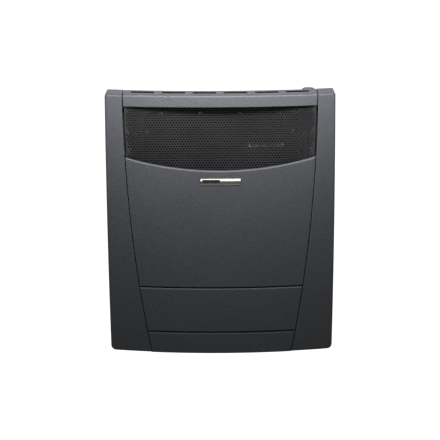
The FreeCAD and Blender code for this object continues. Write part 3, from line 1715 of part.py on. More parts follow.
# ---------------------------------------------------------------- gas control
valve_left = "(valve_centre - valve_width / 2)"
valve_right = "(valve_centre + valve_width / 2)"
valve_rear = "(0 - valve_back)"
valve_core = block(
    "valve_core", (valve_left, f"{valve_rear} - valve_depth", valve_low), (valve_right, valve_rear, valve_top)
)
valve_bonnet = rod("valve_bonnet", "bonnet_radius", ("knob_offset", knob_y, valve_top), "bonnet_height")
valve_bore = rod(
    "valve_bore",
    "spindle_radius + running_clearance",
    ("knob_offset", knob_y, f"{valve_top} - valve_bore_depth"),
    "valve_bore_depth + 2 * bonnet_height",
)
node(cut("valve_block", join("valve_casting", [valve_core, valve_bonnet]), [valve_bore]), "gas_valve")
bracket_left = "(shield_offset + chassis_flange + valve_bracket_gap)"
shelf_low = f"({valve_low} - chassis_sheet)"
node(
    join(
        "valve_carrier",
        [
            block(
                "carrier_shelf",
                (bracket_left, valve_rear, shelf_low),
                (valve_right, plate_front, valve_low),
            ),
            block(
                "carrier_foot",
                (bracket_left, "0 - 2 * chassis_sheet", f"{valve_low} - valve_bracket_height"),
                (valve_right, plate_front, valve_low),
            ),
            block(
                "carrier_tab",
                (bracket_left, valve_rear, shelf_low),
                (valve_right, f"{valve_rear} + chassis_sheet", f"{valve_low} + valve_bracket_height"),
            ),
        ],
    ),
    "valve_bracket",
)
bonnet_top = f"({valve_top} + bonnet_height)"
push_low = f"({bonnet_top} + spring_gap)"
push_high = f"({push_low} + collar_thickness)"
knob_low = f"({deck_top} + bezel_thickness + push_travel + push_margin)"
knob_high = f"({knob_low} + knob_height)"
bore_top = f"({knob_low} + knob_bore_depth)"
turned_body(
    "push_collar",
    [
        ("spindle_radius + running_clearance", push_low),
        ("collar_radius", push_low),
        ("collar_radius", push_high),
        ("spindle_radius + running_clearance", push_high),
    ],
    "knob_offset",
    knob_y,
)
turned_body(
    "valve_spindle",
    [
        ("0", f"{valve_top} - spindle_entry"),
        ("spindle_radius", f"{valve_top} - spindle_entry"),
        ("spindle_radius", f"{push_high} + running_clearance"),
        ("spindle_flange_radius", f"{push_high} + running_clearance"),
        ("spindle_flange_radius", f"{push_high} + spindle_flange_height"),
        ("spindle_radius", f"{push_high} + spindle_flange_height"),
        ("spindle_radius", bore_top),
        ("0", bore_top),
    ],
    "knob_offset",
    knob_y,
)
turned_body(
    "knob_bezel",
    [
        ("spindle_hole_radius", deck_top),
        ("bezel_radius", deck_top),
        ("bezel_radius", f"{deck_top} + bezel_thickness"),
        ("spindle_hole_radius", f"{deck_top} + bezel_thickness"),
    ],
    "knob_offset",
    knob_y,
)


def control_knob():
    """Round knob with a bevelled crown, finger grooves and a blind bore for the spindle."""
    body = new_body("knob")
    outline = new_sketch(body, "knob_outline")
    draw_polygon(
        outline,
        [
            ("0", bore_top),
            ("spindle_radius + running_clearance", bore_top),
            ("spindle_radius + running_clearance", knob_low),
            ("knob_radius", knob_low),
            ("knob_radius", f"{knob_high} - knob_crown_drop"),
            ("knob_crown_radius", knob_high),
            ("0", knob_high),
        ],
    )
    turn = body.newObject("PartDesign::Revolution", "knob_turn")
    turn.Profile = outline
    turn.ReferenceAxis = (outline, ["V_Axis"])
    turn.Angle = 360
    bind(body, Placement__Base__x="knob_offset", Placement__Base__y=knob_y)
    grooves = []
    for k in range(int(size("knob_grooves"))):
        turn_angle = 2 * math.pi * k / size("knob_grooves")
        start = (
            f"knob_offset + knob_radius * {math.cos(turn_angle):.6f}",
            f"{knob_y} + knob_radius * {math.sin(turn_angle):.6f}",
            f"{knob_low} - overrun",
        )
        grooves.append(rod(f"knob_groove_{k}", "groove_radius", start, "knob_height + 2 * overrun"))
    return cut("grooved_knob", body, grooves)


node(control_knob(), "control_knob")
node(
    block(
        "pointer_bar",
        ("knob_offset - pointer_width / 2", f"{knob_y} - knob_crown_radius + pointer_width", knob_high),
        ("knob_offset + pointer_width / 2", f"{knob_y} - pointer_width", f"{knob_high} + pointer_rise"),
    ),
    "knob_pointer",
)


def coil_spring(x, y, low, high, radius):
    """A compression spring between two heights, of leaning half turns that meet in line."""
    wire = size("spring_wire")
    half_turns = 2 * int(size("spring_turns"))
    rise = (high - low - 2 * wire) / half_turns
    arm = math.hypot(radius, rise / 2)
    circle = Part.makeCircle(wire, Vector(x + radius, y, low + wire), Vector(0, 1, 0))
    edges = []
    for k in range(half_turns):
        side = 1 - 2 * (k % 2)
        foot = low + wire + k * rise
        first = Vector(x + side * radius, y, foot)
        middle = Vector(x, y + side * arm, foot + rise / 2)
        last = Vector(x - side * radius, y, foot + rise)
        edges.append(arc(first, middle, last))
    return Part.Wire(edges).makePipeShell([Part.Wire([circle])], True, True)


VALVE_TOP = TOP - size("valve_top_drop")
BONNET_TOP = VALVE_TOP + size("bonnet_height")
feature(
    "knob_return_spring",
    coil_spring(
        size("knob_offset"),
        -size("knob_setback"),
        BONNET_TOP,
        BONNET_TOP + size("spring_gap"),
        size("spring_radius"),
    ),
)

# ---------------------------------------------------------------- spark igniter
igniter_top = f"({deck_top} + igniter_flange_rise)"
igniter_low = f"({igniter_top} - igniter_length)"
button_top = f"({igniter_top} + button_travel + button_margin)"
button_low = f"({button_top} - button_length)"
igniter_bore_low = f"({button_low} - button_spring_gap)"
turned_body(
    "igniter_body",
    [
        ("0", igniter_low),
        ("igniter_radius", igniter_low),
        ("igniter_radius", deck_top),
        ("igniter_flange", deck_top),
        ("igniter_flange", igniter_top),
        ("button_radius + running_clearance", igniter_top),
        ("button_radius + running_clearance", igniter_bore_low),
        ("0", igniter_bore_low),
    ],
    "igniter_offset",
    igniter_y,
)
turned_body(
    "igniter_nut",
    [
        ("igniter_radius + running_clearance", f"{deck_under} - igniter_nut_height"),
        ("igniter_flange", f"{deck_under} - igniter_nut_height"),
        ("igniter_flange", deck_under),
        ("igniter_radius + running_clearance", deck_under),
    ],
    "igniter_offset",
    igniter_y,
)
turned_body(
    "igniter_button",
    [
        ("0", button_low),
        ("button_radius", button_low),
        ("button_radius", f"{button_top} - button_chamfer"),
        ("button_radius - button_chamfer", button_top),
        ("0", button_top),
    ],
    "igniter_offset",
    igniter_y,
)
BUTTON_TOP = REAR_DECK_Z + size("igniter_flange_rise") + size("button_travel") + size("button_margin")
BUTTON_LOW = BUTTON_TOP - size("button_length")
feature(
    "igniter_spring",
    coil_spring(
        size("igniter_offset"),
        -size("igniter_setback"),
        BUTTON_LOW - size("button_spring_gap"),
        BUTTON_LOW,
        size("button_radius") - 3 * size("spring_wire"),
    ),
)

# ---------------------------------------------------------------- gas pipes and leads
VALVE_LOW = VALVE_TOP - size("valve_height")
PILOT_PLATE = CHAMBER_LOW + size("chamber_sheet") + size("pilot_plate_rise")
PILOT_HEAD_LOW = PILOT_PLATE - size("pilot_head_drop")
PROBE_LOW = PILOT_PLATE - size("probe_drop")
PROBE_X = size("pilot_offset") + size("pilot_spread")
BEND = size("pipe_bend")
FEED_RUN_Z = CHAMBER_LOW - size("feed_drop")
PILOT_RUN_Z = CHAMBER_LOW - size("pilot_drop")


def feed_pipe():
    """Gas pipe from the valve, under the chamber and up to the injector."""
    x_valve, x_injector = size("feed_offset"), -size("injector_offset")
    points = [
        Vector(x_valve, BURNER_Y, VALVE_LOW),
        Vector(x_valve, BURNER_Y, FEED_RUN_Z),
        Vector(x_injector, BURNER_Y, FEED_RUN_Z),
        Vector(x_injector, BURNER_Y, BURNER_Z - size("injector_half_height")),
    ]
    return tube(points, size("feed_radius"), BEND, size("feed_radius") - size("pipe_wall"))


def pilot_line(x_end, y, end_z, radius):
    """A thin pipe or lead from the valve's underside to the pilot group."""
    x_valve = size("pilot_pipe_offset")
    points = [
        Vector(x_valve, y, VALVE_LOW),
        Vector(x_valve, y, PILOT_RUN_Z),
        Vector(x_end, y, PILOT_RUN_Z),
        Vector(x_end, y, end_z),
    ]
    return tube(points, radius, BEND)


def igniter_lead():
    """Insulated lead from the igniter down to the spark electrode."""
    x, y = size("igniter_offset"), -size("igniter_setback")
    start = REAR_DECK_Z + size("igniter_flange_rise") - size("igniter_length")
    points = [
        Vector(x, y, start),
        Vector(x, y, start - size("lead_jog_high")),
        Vector(x, SPARK_Y, start - size("lead_jog_low")),
        Vector(x, SPARK_Y, PILOT_RUN_Z),
        Vector(PROBE_X, SPARK_Y, PILOT_RUN_Z),
        Vector(PROBE_X, SPARK_Y, PROBE_LOW),
    ]
    return tube(points, size("lead_radius"), BEND)


feature("burner_feed_pipe", feed_pipe())
feature("pilot_pipe", pilot_line(size("pilot_offset"), BURNER_Y, PILOT_HEAD_LOW, size("pilot_radius")))
feature("thermocouple_lead", pilot_line(PROBE_X, THERMO_Y, PROBE_LOW, size("lead_radius")))
feature("igniter_lead", igniter_lead())

inlet_y = "(0 - inlet_setback)"
inlet_low = f"({bottom} - inlet_drop)"
inlet_high = f"({inlet_low} + inlet_length)"
inlet_outside = rod(
    "inlet_outside", "pipe_radius", ("inlet_offset", inlet_y, inlet_high), f"{valve_low} - {inlet_high}"
)
inlet_inside = rod(
    "inlet_inside",
    "pipe_radius - pipe_wall",
    ("inlet_offset", inlet_y, f"{inlet_high} - pipe_wall"),
    f"{valve_low} - {inlet_high} + 2 * pipe_wall",
)
node(cut("inlet_tube", inlet_outside, [inlet_inside]), "inlet_pipe")
turned_body(
    "inlet_union",
    [
        ("inlet_bore", inlet_low),
        ("inlet_radius", inlet_low),
        ("inlet_radius", f"{inlet_low} + inlet_thread"),
        ("inlet_radius + union_hex_reach", f"{inlet_low} + inlet_thread"),
        ("inlet_radius + union_hex_reach", f"{inlet_high} - union_shoulder"),
        ("pipe_radius + union_neck", inlet_high),
        ("inlet_bore", inlet_high),
    ],
    "inlet_offset",
    inlet_y,
)


def pipe_clips():
    """Clips that hold the inlet pipe off the wall plate."""
    clips = []
    for number, share in enumerate(CLIP_SHARES):
        z = f"({top} * {share})"
        sleeve = rod(
            f"clip_sleeve_{number}",
            "pipe_radius + clip_wall",
            ("inlet_offset", inlet_y, z),
            "clip_height",
        )
        leg = block(
            f"clip_leg_{number}",
            ("inlet_offset - clip_leg_half", inlet_y, z),
            ("inlet_offset + clip_leg_half", plate_front, f"{z} + clip_height"),
        )
        foot = block(
            f"clip_foot_{number}",
            ("inlet_offset - clip_foot_half", f"{plate_front} - chassis_sheet", z),
            ("inlet_offset + clip_foot_half", plate_front, f"{z} + clip_height"),
        )
        bore = rod(
            f"clip_bore_{number}",
            "pipe_radius + running_clearance",
            ("inlet_offset", inlet_y, f"{z} - overrun"),
            "clip_height + 2 * overrun",
        )
        clips.append(cut(f"clip_{number}", join(f"clip_blank_{number}", [sleeve, leg, foot]), [bore]))
    return group("clip_set", clips)


node(pipe_clips(), "pipe_clips")

# ---------------------------------------------------------------- checks and export
doc.recompute()
for thing in doc.Objects:
    if "Invalid" in thing.State or "Error" in thing.State:
        raise RuntimeError(f"{thing.Label} did not build: {thing.State}")
for thing in PARTS:
    if thing.Shape.isNull() or not thing.Shape.isValid():
        raise RuntimeError(f"{thing.Label} has no valid shape")

os.makedirs("parts", exist_ok=True)
for thing in PARTS:
    thing.Shape.exportStep(f"parts/{thing.Label}.step")
print(f"{len(PARTS)} sub-parts written")
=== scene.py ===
# %% [markdown]
# # A wall gas heater in a studio
#
# The heater is a balanced flue convector: a bulged sheet metal casing with a perforated air
# outlet, a sealed combustion chamber behind it, and a gas control at the top right. Its solids
# come ready made and are called the frame here. This lesson gives every one of them a finish,
# replaces the few small pieces that need rounder or finer shapes than the solids have, and then
# sets up a floor, soft lights and a camera.

# %% Load the frame
import json
import math

import bmesh
import bpy
from mathutils import Matrix, Vector


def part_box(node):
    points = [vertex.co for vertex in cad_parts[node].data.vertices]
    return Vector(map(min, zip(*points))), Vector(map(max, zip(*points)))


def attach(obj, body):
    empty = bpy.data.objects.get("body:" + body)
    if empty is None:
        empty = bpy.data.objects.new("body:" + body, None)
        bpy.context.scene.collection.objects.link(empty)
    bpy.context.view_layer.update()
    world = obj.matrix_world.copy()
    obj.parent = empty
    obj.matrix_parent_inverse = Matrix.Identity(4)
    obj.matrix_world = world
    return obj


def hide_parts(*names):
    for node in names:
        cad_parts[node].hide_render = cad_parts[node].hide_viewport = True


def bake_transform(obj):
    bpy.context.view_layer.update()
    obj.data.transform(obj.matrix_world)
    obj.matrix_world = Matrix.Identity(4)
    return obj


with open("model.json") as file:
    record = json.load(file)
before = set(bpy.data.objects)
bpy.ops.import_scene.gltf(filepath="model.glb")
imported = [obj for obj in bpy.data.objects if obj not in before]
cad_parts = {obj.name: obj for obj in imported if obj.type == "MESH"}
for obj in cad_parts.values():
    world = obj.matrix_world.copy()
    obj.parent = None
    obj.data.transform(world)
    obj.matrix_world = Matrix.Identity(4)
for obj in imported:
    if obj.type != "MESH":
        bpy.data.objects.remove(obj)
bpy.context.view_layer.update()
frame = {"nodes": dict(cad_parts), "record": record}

nodes = frame["nodes"]

# %% [markdown]
# ## Tools for the finishes
#
# A painted or plated surface is never one flat colour. Each finish below is a small network of
# nodes on the Principled shader: noise in the object's own metres varies the colour and the
# roughness, and one or more bump nodes give the surface its grain. Because the coordinates are
# in metres, a scale of 1000 means about one grain per millimetre on every piece alike.
#
# A mix node has its sockets once for each kind of value, all under the same names, so those for
# colours are found by their number.


# %% Node helpers
MIX_FIRST = 6
MIX_SECOND = 7
MIX_RESULT = 2


def start_finish(name, metallic=0.0, **sockets):
    """A material, its node tree and its shader; the keywords set sockets of the shader."""
    material = bpy.data.materials.new(name)
    material.use_nodes = True
    tree = material.node_tree
    shader = tree.nodes["Principled BSDF"]
    shader.inputs["Metallic"].default_value = metallic
    for socket, value in sockets.items():
        shader.inputs[socket.replace("_", " ")].default_value = value
    return material, tree, shader


def metres(tree, stretch=(1.0, 1.0, 1.0)):
    """The point's place in metres, with each axis squeezed by its own factor."""
    mapping = tree.nodes.new("ShaderNodeMapping")
    mapping.inputs["Scale"].default_value = stretch
    place = tree.nodes.new("ShaderNodeTexCoord").outputs["Object"]
    tree.links.new(place, mapping.inputs["Vector"])
    return mapping.outputs["Vector"]


def grains(tree, per_metre, detail=2.0, stretch=(1.0, 1.0, 1.0)):
    """Soft noise with so many grains in a metre."""
    noise = tree.nodes.new("ShaderNodeTexNoise")
    noise.inputs["Scale"].default_value = per_metre
    noise.inputs["Detail"].default_value = detail
    tree.links.new(metres(tree, stretch), noise.inputs["Vector"])
    return noise.outputs["Fac"]


def crystals(tree, per_metre):
    """Flat cells, each with its own random value."""
    cells = tree.nodes.new("ShaderNodeTexVoronoi")
    cells.inputs["Scale"].default_value = per_metre
    tree.links.new(metres(tree), cells.inputs["Vector"])
    split = tree.nodes.new("ShaderNodeSeparateColor")
    tree.links.new(cells.outputs["Color"], split.inputs["Color"])
    return split.outputs["Red"]


def spread(tree, value, low, high, start=0.3, end=0.7):
    """Maps start to low and end to high; a noise mostly lies between 0.3 and 0.7."""
    ranged = tree.nodes.new("ShaderNodeMapRange")
    for socket, number in (("From Min", start), ("From Max", end), ("To Min", low), ("To Max", high)):
        ranged.inputs[socket].default_value = number
    tree.links.new(value, ranged.inputs["Value"])
    return ranged.outputs["Result"]


def between(tree, share, first, second):
    """Mixes two colours, or a colour and another mix, by a share from 0 to 1."""
    mix = tree.nodes.new("ShaderNodeMix")
    mix.data_type = "RGBA"
    tree.links.new(share, mix.inputs["Factor"])
    for number, colour in ((MIX_FIRST, first), (MIX_SECOND, second)):
        if isinstance(colour, tuple):
            mix.inputs[number].default_value = (*colour, 1.0)
        else:
            tree.links.new(colour, mix.inputs[number])
    return mix.outputs[MIX_RESULT]


def tones(tree, noise, first, second):
    """Two colours that change places by a noise."""
    return between(tree, spread(tree, noise, 0.0, 1.0), first, second)


def relief(tree, shader, *layers):
    """Bumps the surface by layers of (noise, depth in metres, strength)."""
    normal = None
    for height, depth, strength in layers:
        bump = tree.nodes.new("ShaderNodeBump")
        bump.inputs["Distance"].default_value = depth
        bump.inputs["Strength"].default_value = strength
        tree.links.new(height, bump.inputs["Height"])
        if normal:
            tree.links.new(normal, bump.inputs["Normal"])
        normal = bump.outputs["Normal"]
    tree.links.new(normal, shader.inputs["Normal"])


print("node helpers ready")

# %% [markdown]
# ## Tools for masks
#
# Some finishes change where a surface turns another way or lies further back. A mask is a value
# from 0 to 1 that a network works out from the face's own direction and the point's place, so it
# needs no painted picture. The helpers below read one axis of either and combine two masks.


# %% Mask helpers
def along(tree, vector, axis):
    """One axis of a vector."""
    split = tree.nodes.new("ShaderNodeSeparateXYZ")
    tree.links.new(vector, split.inputs["Vector"])
    return split.outputs[axis]


def facing(tree, axis):
    """How far the surface faces along an axis of the object, from -1 to 1."""
    return along(tree, tree.nodes.new("ShaderNodeNewGeometry").outputs["True Normal"], axis)


def axis_share(tree, axis, low, high):
    """0 below one place on an axis of the object, 1 above another, and a ramp between them."""
    return spread(tree, along(tree, metres(tree), axis), 0.0, 1.0, low, high)


def reckoned(tree, operation, *values):
    """One or two values put through a mathematical operation."""
    node = tree.nodes.new("ShaderNodeMath")
    node.operation = operation
    for value, socket in zip(values, node.inputs):
        tree.links.new(value, socket)
    return node.outputs["Value"]


print("mask helpers ready")

# %% [markdown]
# ## The casing paint
#
# The casing is powder coated: the powder melts into a skin with a fine sandy grain and, under
# it, a coarser leathery waviness that painters call orange peel. Two bump layers give both. The
# colour is a dark graphite with a trace of blue. A slow noise clouds it, one as coarse as the
# peel mottles it, and the sandy one speckles it.
#
# What shows through the air slots and in the gaps beside the outlet gets painted shade in black,
# standing in for the shade that falls there, or it would catch the light: the edges of the
# crossbar that face the front well behind the casing's front, those that face sideways, and the
# columns' inner walls beside the outlet. Each mask fades over a few millimetres, and over a small
# range of directions.


# %% Graphite powder coat
# Painted shade: the black that stands in for the shade in the slots and the gaps.
PAINTED_SHADE_BLACK = (0.004, 0.004, 0.004)
SLOT_EDGES_FROM = -0.146
SLOT_EDGES_FADE = 0.002
OUTLET_FOOT = 0.13
OUTLET_FADE = 0.004
TURNED_FORWARD = (-0.8, -0.6)
TURNED_SIDEWAYS = (0.7, 0.9)
TURNED_INWARD = (-0.9, -0.7)


def shade_in_slots(tree):
    """1 on the crossbar's and the rear deck's hidden edges, where painted shade goes."""
    fronts = spread(tree, facing(tree, "Y"), 1.0, 0.0, *TURNED_FORWARD)
    deep = axis_share(tree, "Y", SLOT_EDGES_FROM - SLOT_EDGES_FADE, SLOT_EDGES_FROM)
    hidden = reckoned(tree, "MINIMUM", fronts, deep)
    sideways = reckoned(tree, "ABSOLUTE", facing(tree, "X"))
    ends = spread(tree, sideways, 0.0, 1.0, *TURNED_SIDEWAYS)
    return reckoned(tree, "MAXIMUM", hidden, ends)


def shade_beside_outlet(tree):
    """1 on the columns' walls that face the middle, above the outlet's foot, where painted shade
    goes.
    """
    side = reckoned(tree, "SIGN", along(tree, metres(tree), "X"))
    outward = reckoned(tree, "MULTIPLY", facing(tree, "X"), side)
    inward = spread(tree, outward, 1.0, 0.0, *TURNED_INWARD)
    above = axis_share(tree, "Z", OUTLET_FOOT - OUTLET_FADE, OUTLET_FOOT)
    return reckoned(tree, "MINIMUM", inward, above)


def casing_paint(name, shade_share=None):
    """The powder coat, with painted shade in black where a function of the tree says so."""
    material, tree, shader = start_finish(name, IOR=1.5)
    sandy = grains(tree, per_metre=1500.0, detail=3.0)
    peel = grains(tree, per_metre=330.0, detail=3.0)
    slow = grains(tree, per_metre=9.0, detail=2.0)
    base = tones(tree, slow, (0.037, 0.039, 0.045), (0.044, 0.046, 0.052))
    mottled = between(tree, spread(tree, peel, low=0.0, high=0.80), base, (0.074, 0.076, 0.082))
    specks = spread(tree, sandy, low=0.0, high=0.36, start=0.5, end=0.75)
    speckled = between(tree, specks, mottled, (0.105, 0.108, 0.116))
    if shade_share:
        # Painted shade mixed into the paint's colour where the mask says.
        speckled = between(tree, shade_share(tree), speckled, PAINTED_SHADE_BLACK)
    tree.links.new(speckled, shader.inputs["Base Color"])
    tree.links.new(spread(tree, sandy, low=0.44, high=0.56), shader.inputs["Roughness"])
    relief(tree, shader, (peel, 0.0006, 0.6), (sandy, 0.00022, 0.55))
    return material


finishes = {"casing_paint": casing_paint("casing_paint")}
# Copies of the paint with painted shade in the slots and in the gaps beside the outlet.
finishes["painted_shade_slots"] = casing_paint("painted_shade_slots", shade_in_slots)
finishes["painted_shade_column"] = casing_paint("painted_shade_column", shade_beside_outlet)
print("casing paint has", len(finishes["casing_paint"].node_tree.nodes), "nodes")

# %% [markdown]
# ## Paints inside the casing
#
# The perforated outlet has a thin black paint, smoother than the casing's. The chamber behind it
# has a black enamel that survives red heat, made far darker than real enamel as painted shade for
# the dark inside, so that it is far darker than the outlet's webs, or the holes would not show as
# holes from in front. Years of heat brown it slightly towards the top, which a ramp over the height
# of the object gives.


# %% Black paint and enamel
BROWNING_STARTS = 0.05
BROWNING_FULL = 0.30


def grille_black():
    """The outlet's thin satin paint."""
    material, tree, shader = start_finish("grille_black", Specular_IOR_Level=0.4)
    fine = grains(tree, per_metre=900.0)
    slow = grains(tree, per_metre=14.0)
    tone = tones(tree, slow, (0.019, 0.019, 0.020), (0.027, 0.027, 0.028))
    tree.links.new(tone, shader.inputs["Base Color"])
    tree.links.new(spread(tree, fine, low=0.34, high=0.48), shader.inputs["Roughness"])
    relief(tree, shader, (fine, 0.0001, 0.35))
    return material


def chamber_enamel():
    """Black enamel made darker still as painted shade, with hardly any shine, browned towards the
    top.
    """
    material, tree, shader = start_finish("chamber_enamel", Specular_IOR_Level=0.02)
    fine = grains(tree, per_metre=700.0, detail=3.0)
    cloudy = grains(tree, per_metre=22.0, detail=4.0)
    # Painted shade: these tones are darker than real enamel, for the dark inside the chamber.
    cold = tones(tree, cloudy, (0.0030, 0.0030, 0.0032), (0.0055, 0.0053, 0.0052))
    heat = axis_share(tree, "Z", BROWNING_STARTS, BROWNING_FULL)
    browned = between(tree, heat, cold, (0.0090, 0.0070, 0.0055))
    tree.links.new(browned, shader.inputs["Base Color"])
    tree.links.new(spread(tree, cloudy, low=0.55, high=0.75), shader.inputs["Roughness"])
    relief(tree, shader, (fine, 0.00015, 0.4))
    return material


finishes["grille_black"] = grille_black()
finishes["chamber_enamel"] = chamber_enamel()
print("paints:", ", ".join(finishes))

# %% [markdown]
# ## Sheet and wire of steel
#
# Galvanised sheet shows large flat zinc crystals that catch the light differently, so a cell
# pattern sets both its colour and its roughness. The back plate is such a sheet, but its inner
# side gets painted shade in matt black, standing in for the shade behind the outlet's holes. Plain
# steel parts are brushed along their length, and zinc plated screws are fine grained with a trace
# of yellow.


# %% Steels
def galvanised_sheet(name, blackened=False):
    """Zinc spangle; a blackened sheet gets painted shade in matt black on the side towards the room.
    """
    material, tree, shader = start_finish(name, metallic=1.0)
    spangle = crystals(tree, per_metre=95.0)
    smear = grains(tree, per_metre=30.0, detail=4.0)
    zinc = between(tree, spangle, (0.42, 0.43, 0.44), (0.60, 0.61, 0.62))
    dulled = between(tree, spread(tree, smear, low=0.0, high=0.55), zinc, (0.40, 0.40, 0.39))
    rough = spread(tree, spangle, low=0.34, high=0.50, start=0.0, end=1.0)
    if blackened:
        # Painted shade: black and not metallic on the side towards the room, behind the outlet.
        bare = spread(tree, facing(tree, "Y"), 0.0, 1.0, *TURNED_FORWARD)
        dulled = between(tree, bare, PAINTED_SHADE_BLACK, dulled)
        tree.links.new(bare, shader.inputs["Metallic"])
    tree.links.new(dulled, shader.inputs["Base Color"])
    tree.links.new(rough, shader.inputs["Roughness"])
    relief(tree, shader, (grains(tree, per_metre=600.0), 0.00006, 0.3))
    return material


def brushed(name, dark, light, smooth, rough, stretch):
    """Metal with fine lines along one axis, given by how each axis is squeezed."""
    material, tree, shader = start_finish(name, metallic=1.0)
    lines = grains(tree, per_metre=900.0, detail=3.0, stretch=stretch)
    cloud = grains(tree, per_metre=35.0, detail=3.0)
    tone = tones(tree, lines, dark, light)
    clouded = between(tree, spread(tree, cloud, low=0.0, high=0.4), tone, dark)
    tree.links.new(clouded, shader.inputs["Base Color"])
    tree.links.new(spread(tree, lines, smooth, rough), shader.inputs["Roughness"])
    relief(tree, shader, (lines, 0.00004, 0.35))
    return material


finishes["galvanised_sheet"] = galvanised_sheet("galvanised_sheet")
finishes["painted_shade_back"] = galvanised_sheet("painted_shade_back", True)
for name, dark, light, smooth, rough, stretch in (
    ("zinc_screws", (0.50, 0.49, 0.44), (0.64, 0.63, 0.58), 0.24, 0.36, (1.0, 1.0, 1.0)),
    ("burner_steel", (0.26, 0.25, 0.25), (0.44, 0.43, 0.42), 0.32, 0.48, (0.05, 1.0, 1.0)),
    ("spring_steel", (0.40, 0.40, 0.41), (0.56, 0.56, 0.57), 0.22, 0.34, (1.0, 1.0, 0.3)),
):
    finishes[name] = brushed(name, dark, light, smooth, rough, stretch)
print("steels ready:", len(finishes), "finishes so far")

# %% [markdown]
# ## Copper, brass and aluminium
#
# Drawn copper tube is bright along its length and browns in patches where hands and air reach
# it. Brass fittings show the rings of the lathe. The flue collars are mill finish aluminium,
# and the gas valve is a die casting with a sandy skin, coloured near black as painted shade,
# since it sits in the dark behind the outlet.


# %% Soft metals
def drawn_copper(name, fresh, browned):
    """Copper with lines along its length and brown patches."""
    material, tree, shader = start_finish(name, metallic=1.0)
    patches = grains(tree, per_metre=60.0, detail=5.0)
    lines = grains(tree, per_metre=1200.0, detail=2.0, stretch=(1.0, 1.0, 0.08))
    handled = spread(tree, patches, low=0.0, high=1.0, start=0.42, end=0.68)
    tone = between(tree, handled, fresh, browned)
    tree.links.new(tone, shader.inputs["Base Color"])
    tree.links.new(spread(tree, patches, low=0.22, high=0.46), shader.inputs["Roughness"])
    relief(tree, shader, (lines, 0.00004, 0.3))
    return material


def shade_blacked_casting():
    """The valve's sandy casting, coloured near black as painted shade, which hides the metal."""
    material, tree, shader = start_finish("valve_aluminium", Specular_IOR_Level=0.2)
    sand = grains(tree, per_metre=500.0, detail=4.0)
    cloud = grains(tree, per_metre=40.0, detail=3.0)
    # Painted shade: the casting's colour is near black for the dark behind the outlet.
    tone = tones(tree, cloud, (0.012, 0.012, 0.013), (0.020, 0.020, 0.021))
    tree.links.new(tone, shader.inputs["Base Color"])
    tree.links.new(spread(tree, sand, low=0.42, high=0.58), shader.inputs["Roughness"])
    relief(tree, shader, (sand, 0.0002, 0.6))
    return material


for name, fresh, browned in (
    ("copper_pipe", (0.80, 0.44, 0.30), (0.42, 0.22, 0.15)),
    ("copper_screws", (0.86, 0.48, 0.30), (0.60, 0.32, 0.20)),
):
    finishes[name] = drawn_copper(name, fresh, browned)
for name, dark, light, smooth, rough, stretch in (
    ("brass_fittings", (0.55, 0.40, 0.18), (0.76, 0.58, 0.30), 0.20, 0.34, (0.15, 0.15, 1.0)),
    ("flue_aluminium", (0.58, 0.58, 0.59), (0.74, 0.74, 0.75), 0.26, 0.40, (1.0, 0.06, 1.0)),
):
    finishes[name] = brushed(name, dark, light, smooth, rough, stretch)
finishes["valve_aluminium"] = shade_blacked_casting()
print("metals ready:", len(finishes), "finishes so far")

# %% [markdown]
# ## The badge
#
# The badge plate is plated and polished. Polished metal still has hairlines from wiping, all
# roughly level, so its noise is squeezed across the badge. Painted reflections darken the lower
# half, apart from a painted highlight near its foot, and the top rim. A colour ramp over the
# badge's height says where: each of its stops is a height and a brightness, both from 0 to 1. The
# inlay is a gloss black plastic strip that is left without any words.


# %% Badge finishes
badge_low, badge_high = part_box("badge_plate")
# Painted reflection: dark and bright bands by height that stand in for what the plate mirrors.
PAINTED_SHADE_PLATING = (0.15, 0.14, 0.135)
PAINTED_REFLECTION_BANDS = (
    (0.00, 0.25),
    (0.11, 0.25),
    (0.13, 1.00),
    (0.25, 1.00),
    (0.28, 0.00),
    (0.62, 0.00),
    (0.70, 1.00),
    (0.92, 1.00),
    (0.95, 0.10),
)


def painted_reflection_share(tree):
    """The painted reflection: how bright the plating is at each height of the badge, from 0 to 1."""
    ramp = tree.nodes.new("ShaderNodeValToRGB")
    stops = ramp.color_ramp.elements
    while len(stops) < len(PAINTED_REFLECTION_BANDS):
        stops.new(0.5)
    for stop, (height, brightness) in zip(stops, PAINTED_REFLECTION_BANDS):
        stop.position = height
        stop.color = (brightness, brightness, brightness, 1.0)
    tree.links.new(axis_share(tree, "Z", badge_low.z, badge_high.z), ramp.inputs["Fac"])
    return ramp.outputs["Color"]


def badge_chrome():
    """Polished plating with hairlines, and painted reflections where the bands say so."""
    material, tree, shader = start_finish("badge_chrome", metallic=1.0)
    hairlines = grains(tree, per_metre=1800.0, detail=2.0, stretch=(0.04, 1.0, 1.0))
    cloud = grains(tree, per_metre=70.0, detail=2.0)
    tone = tones(tree, cloud, (0.76, 0.70, 0.65), (0.86, 0.81, 0.77))
    reflection_painted = between(tree, painted_reflection_share(tree), PAINTED_SHADE_PLATING, tone)
    tree.links.new(reflection_painted, shader.inputs["Base Color"])
    tree.links.new(spread(tree, hairlines, low=0.07, high=0.14), shader.inputs["Roughness"])
    relief(tree, shader, (hairlines, 0.00002, 0.25))
    return material


def moulded(name, dark, light, smooth, rough, texture=0.0001, specular=0.5):
    """Moulded plastic: a spark eroded grain over a slightly uneven colour."""
    material, tree, shader = start_finish(name, Specular_IOR_Level=specular)
    sparks = grains(tree, per_metre=1100.0, detail=2.0)
    cloud = grains(tree, per_metre=55.0, detail=2.0)
    tone = tones(tree, cloud, dark, light)
    tree.links.new(tone, shader.inputs["Base Color"])
    tree.links.new(spread(tree, sparks, smooth, rough), shader.inputs["Roughness"])
    relief(tree, shader, (sparks, texture, 0.4))
    return material


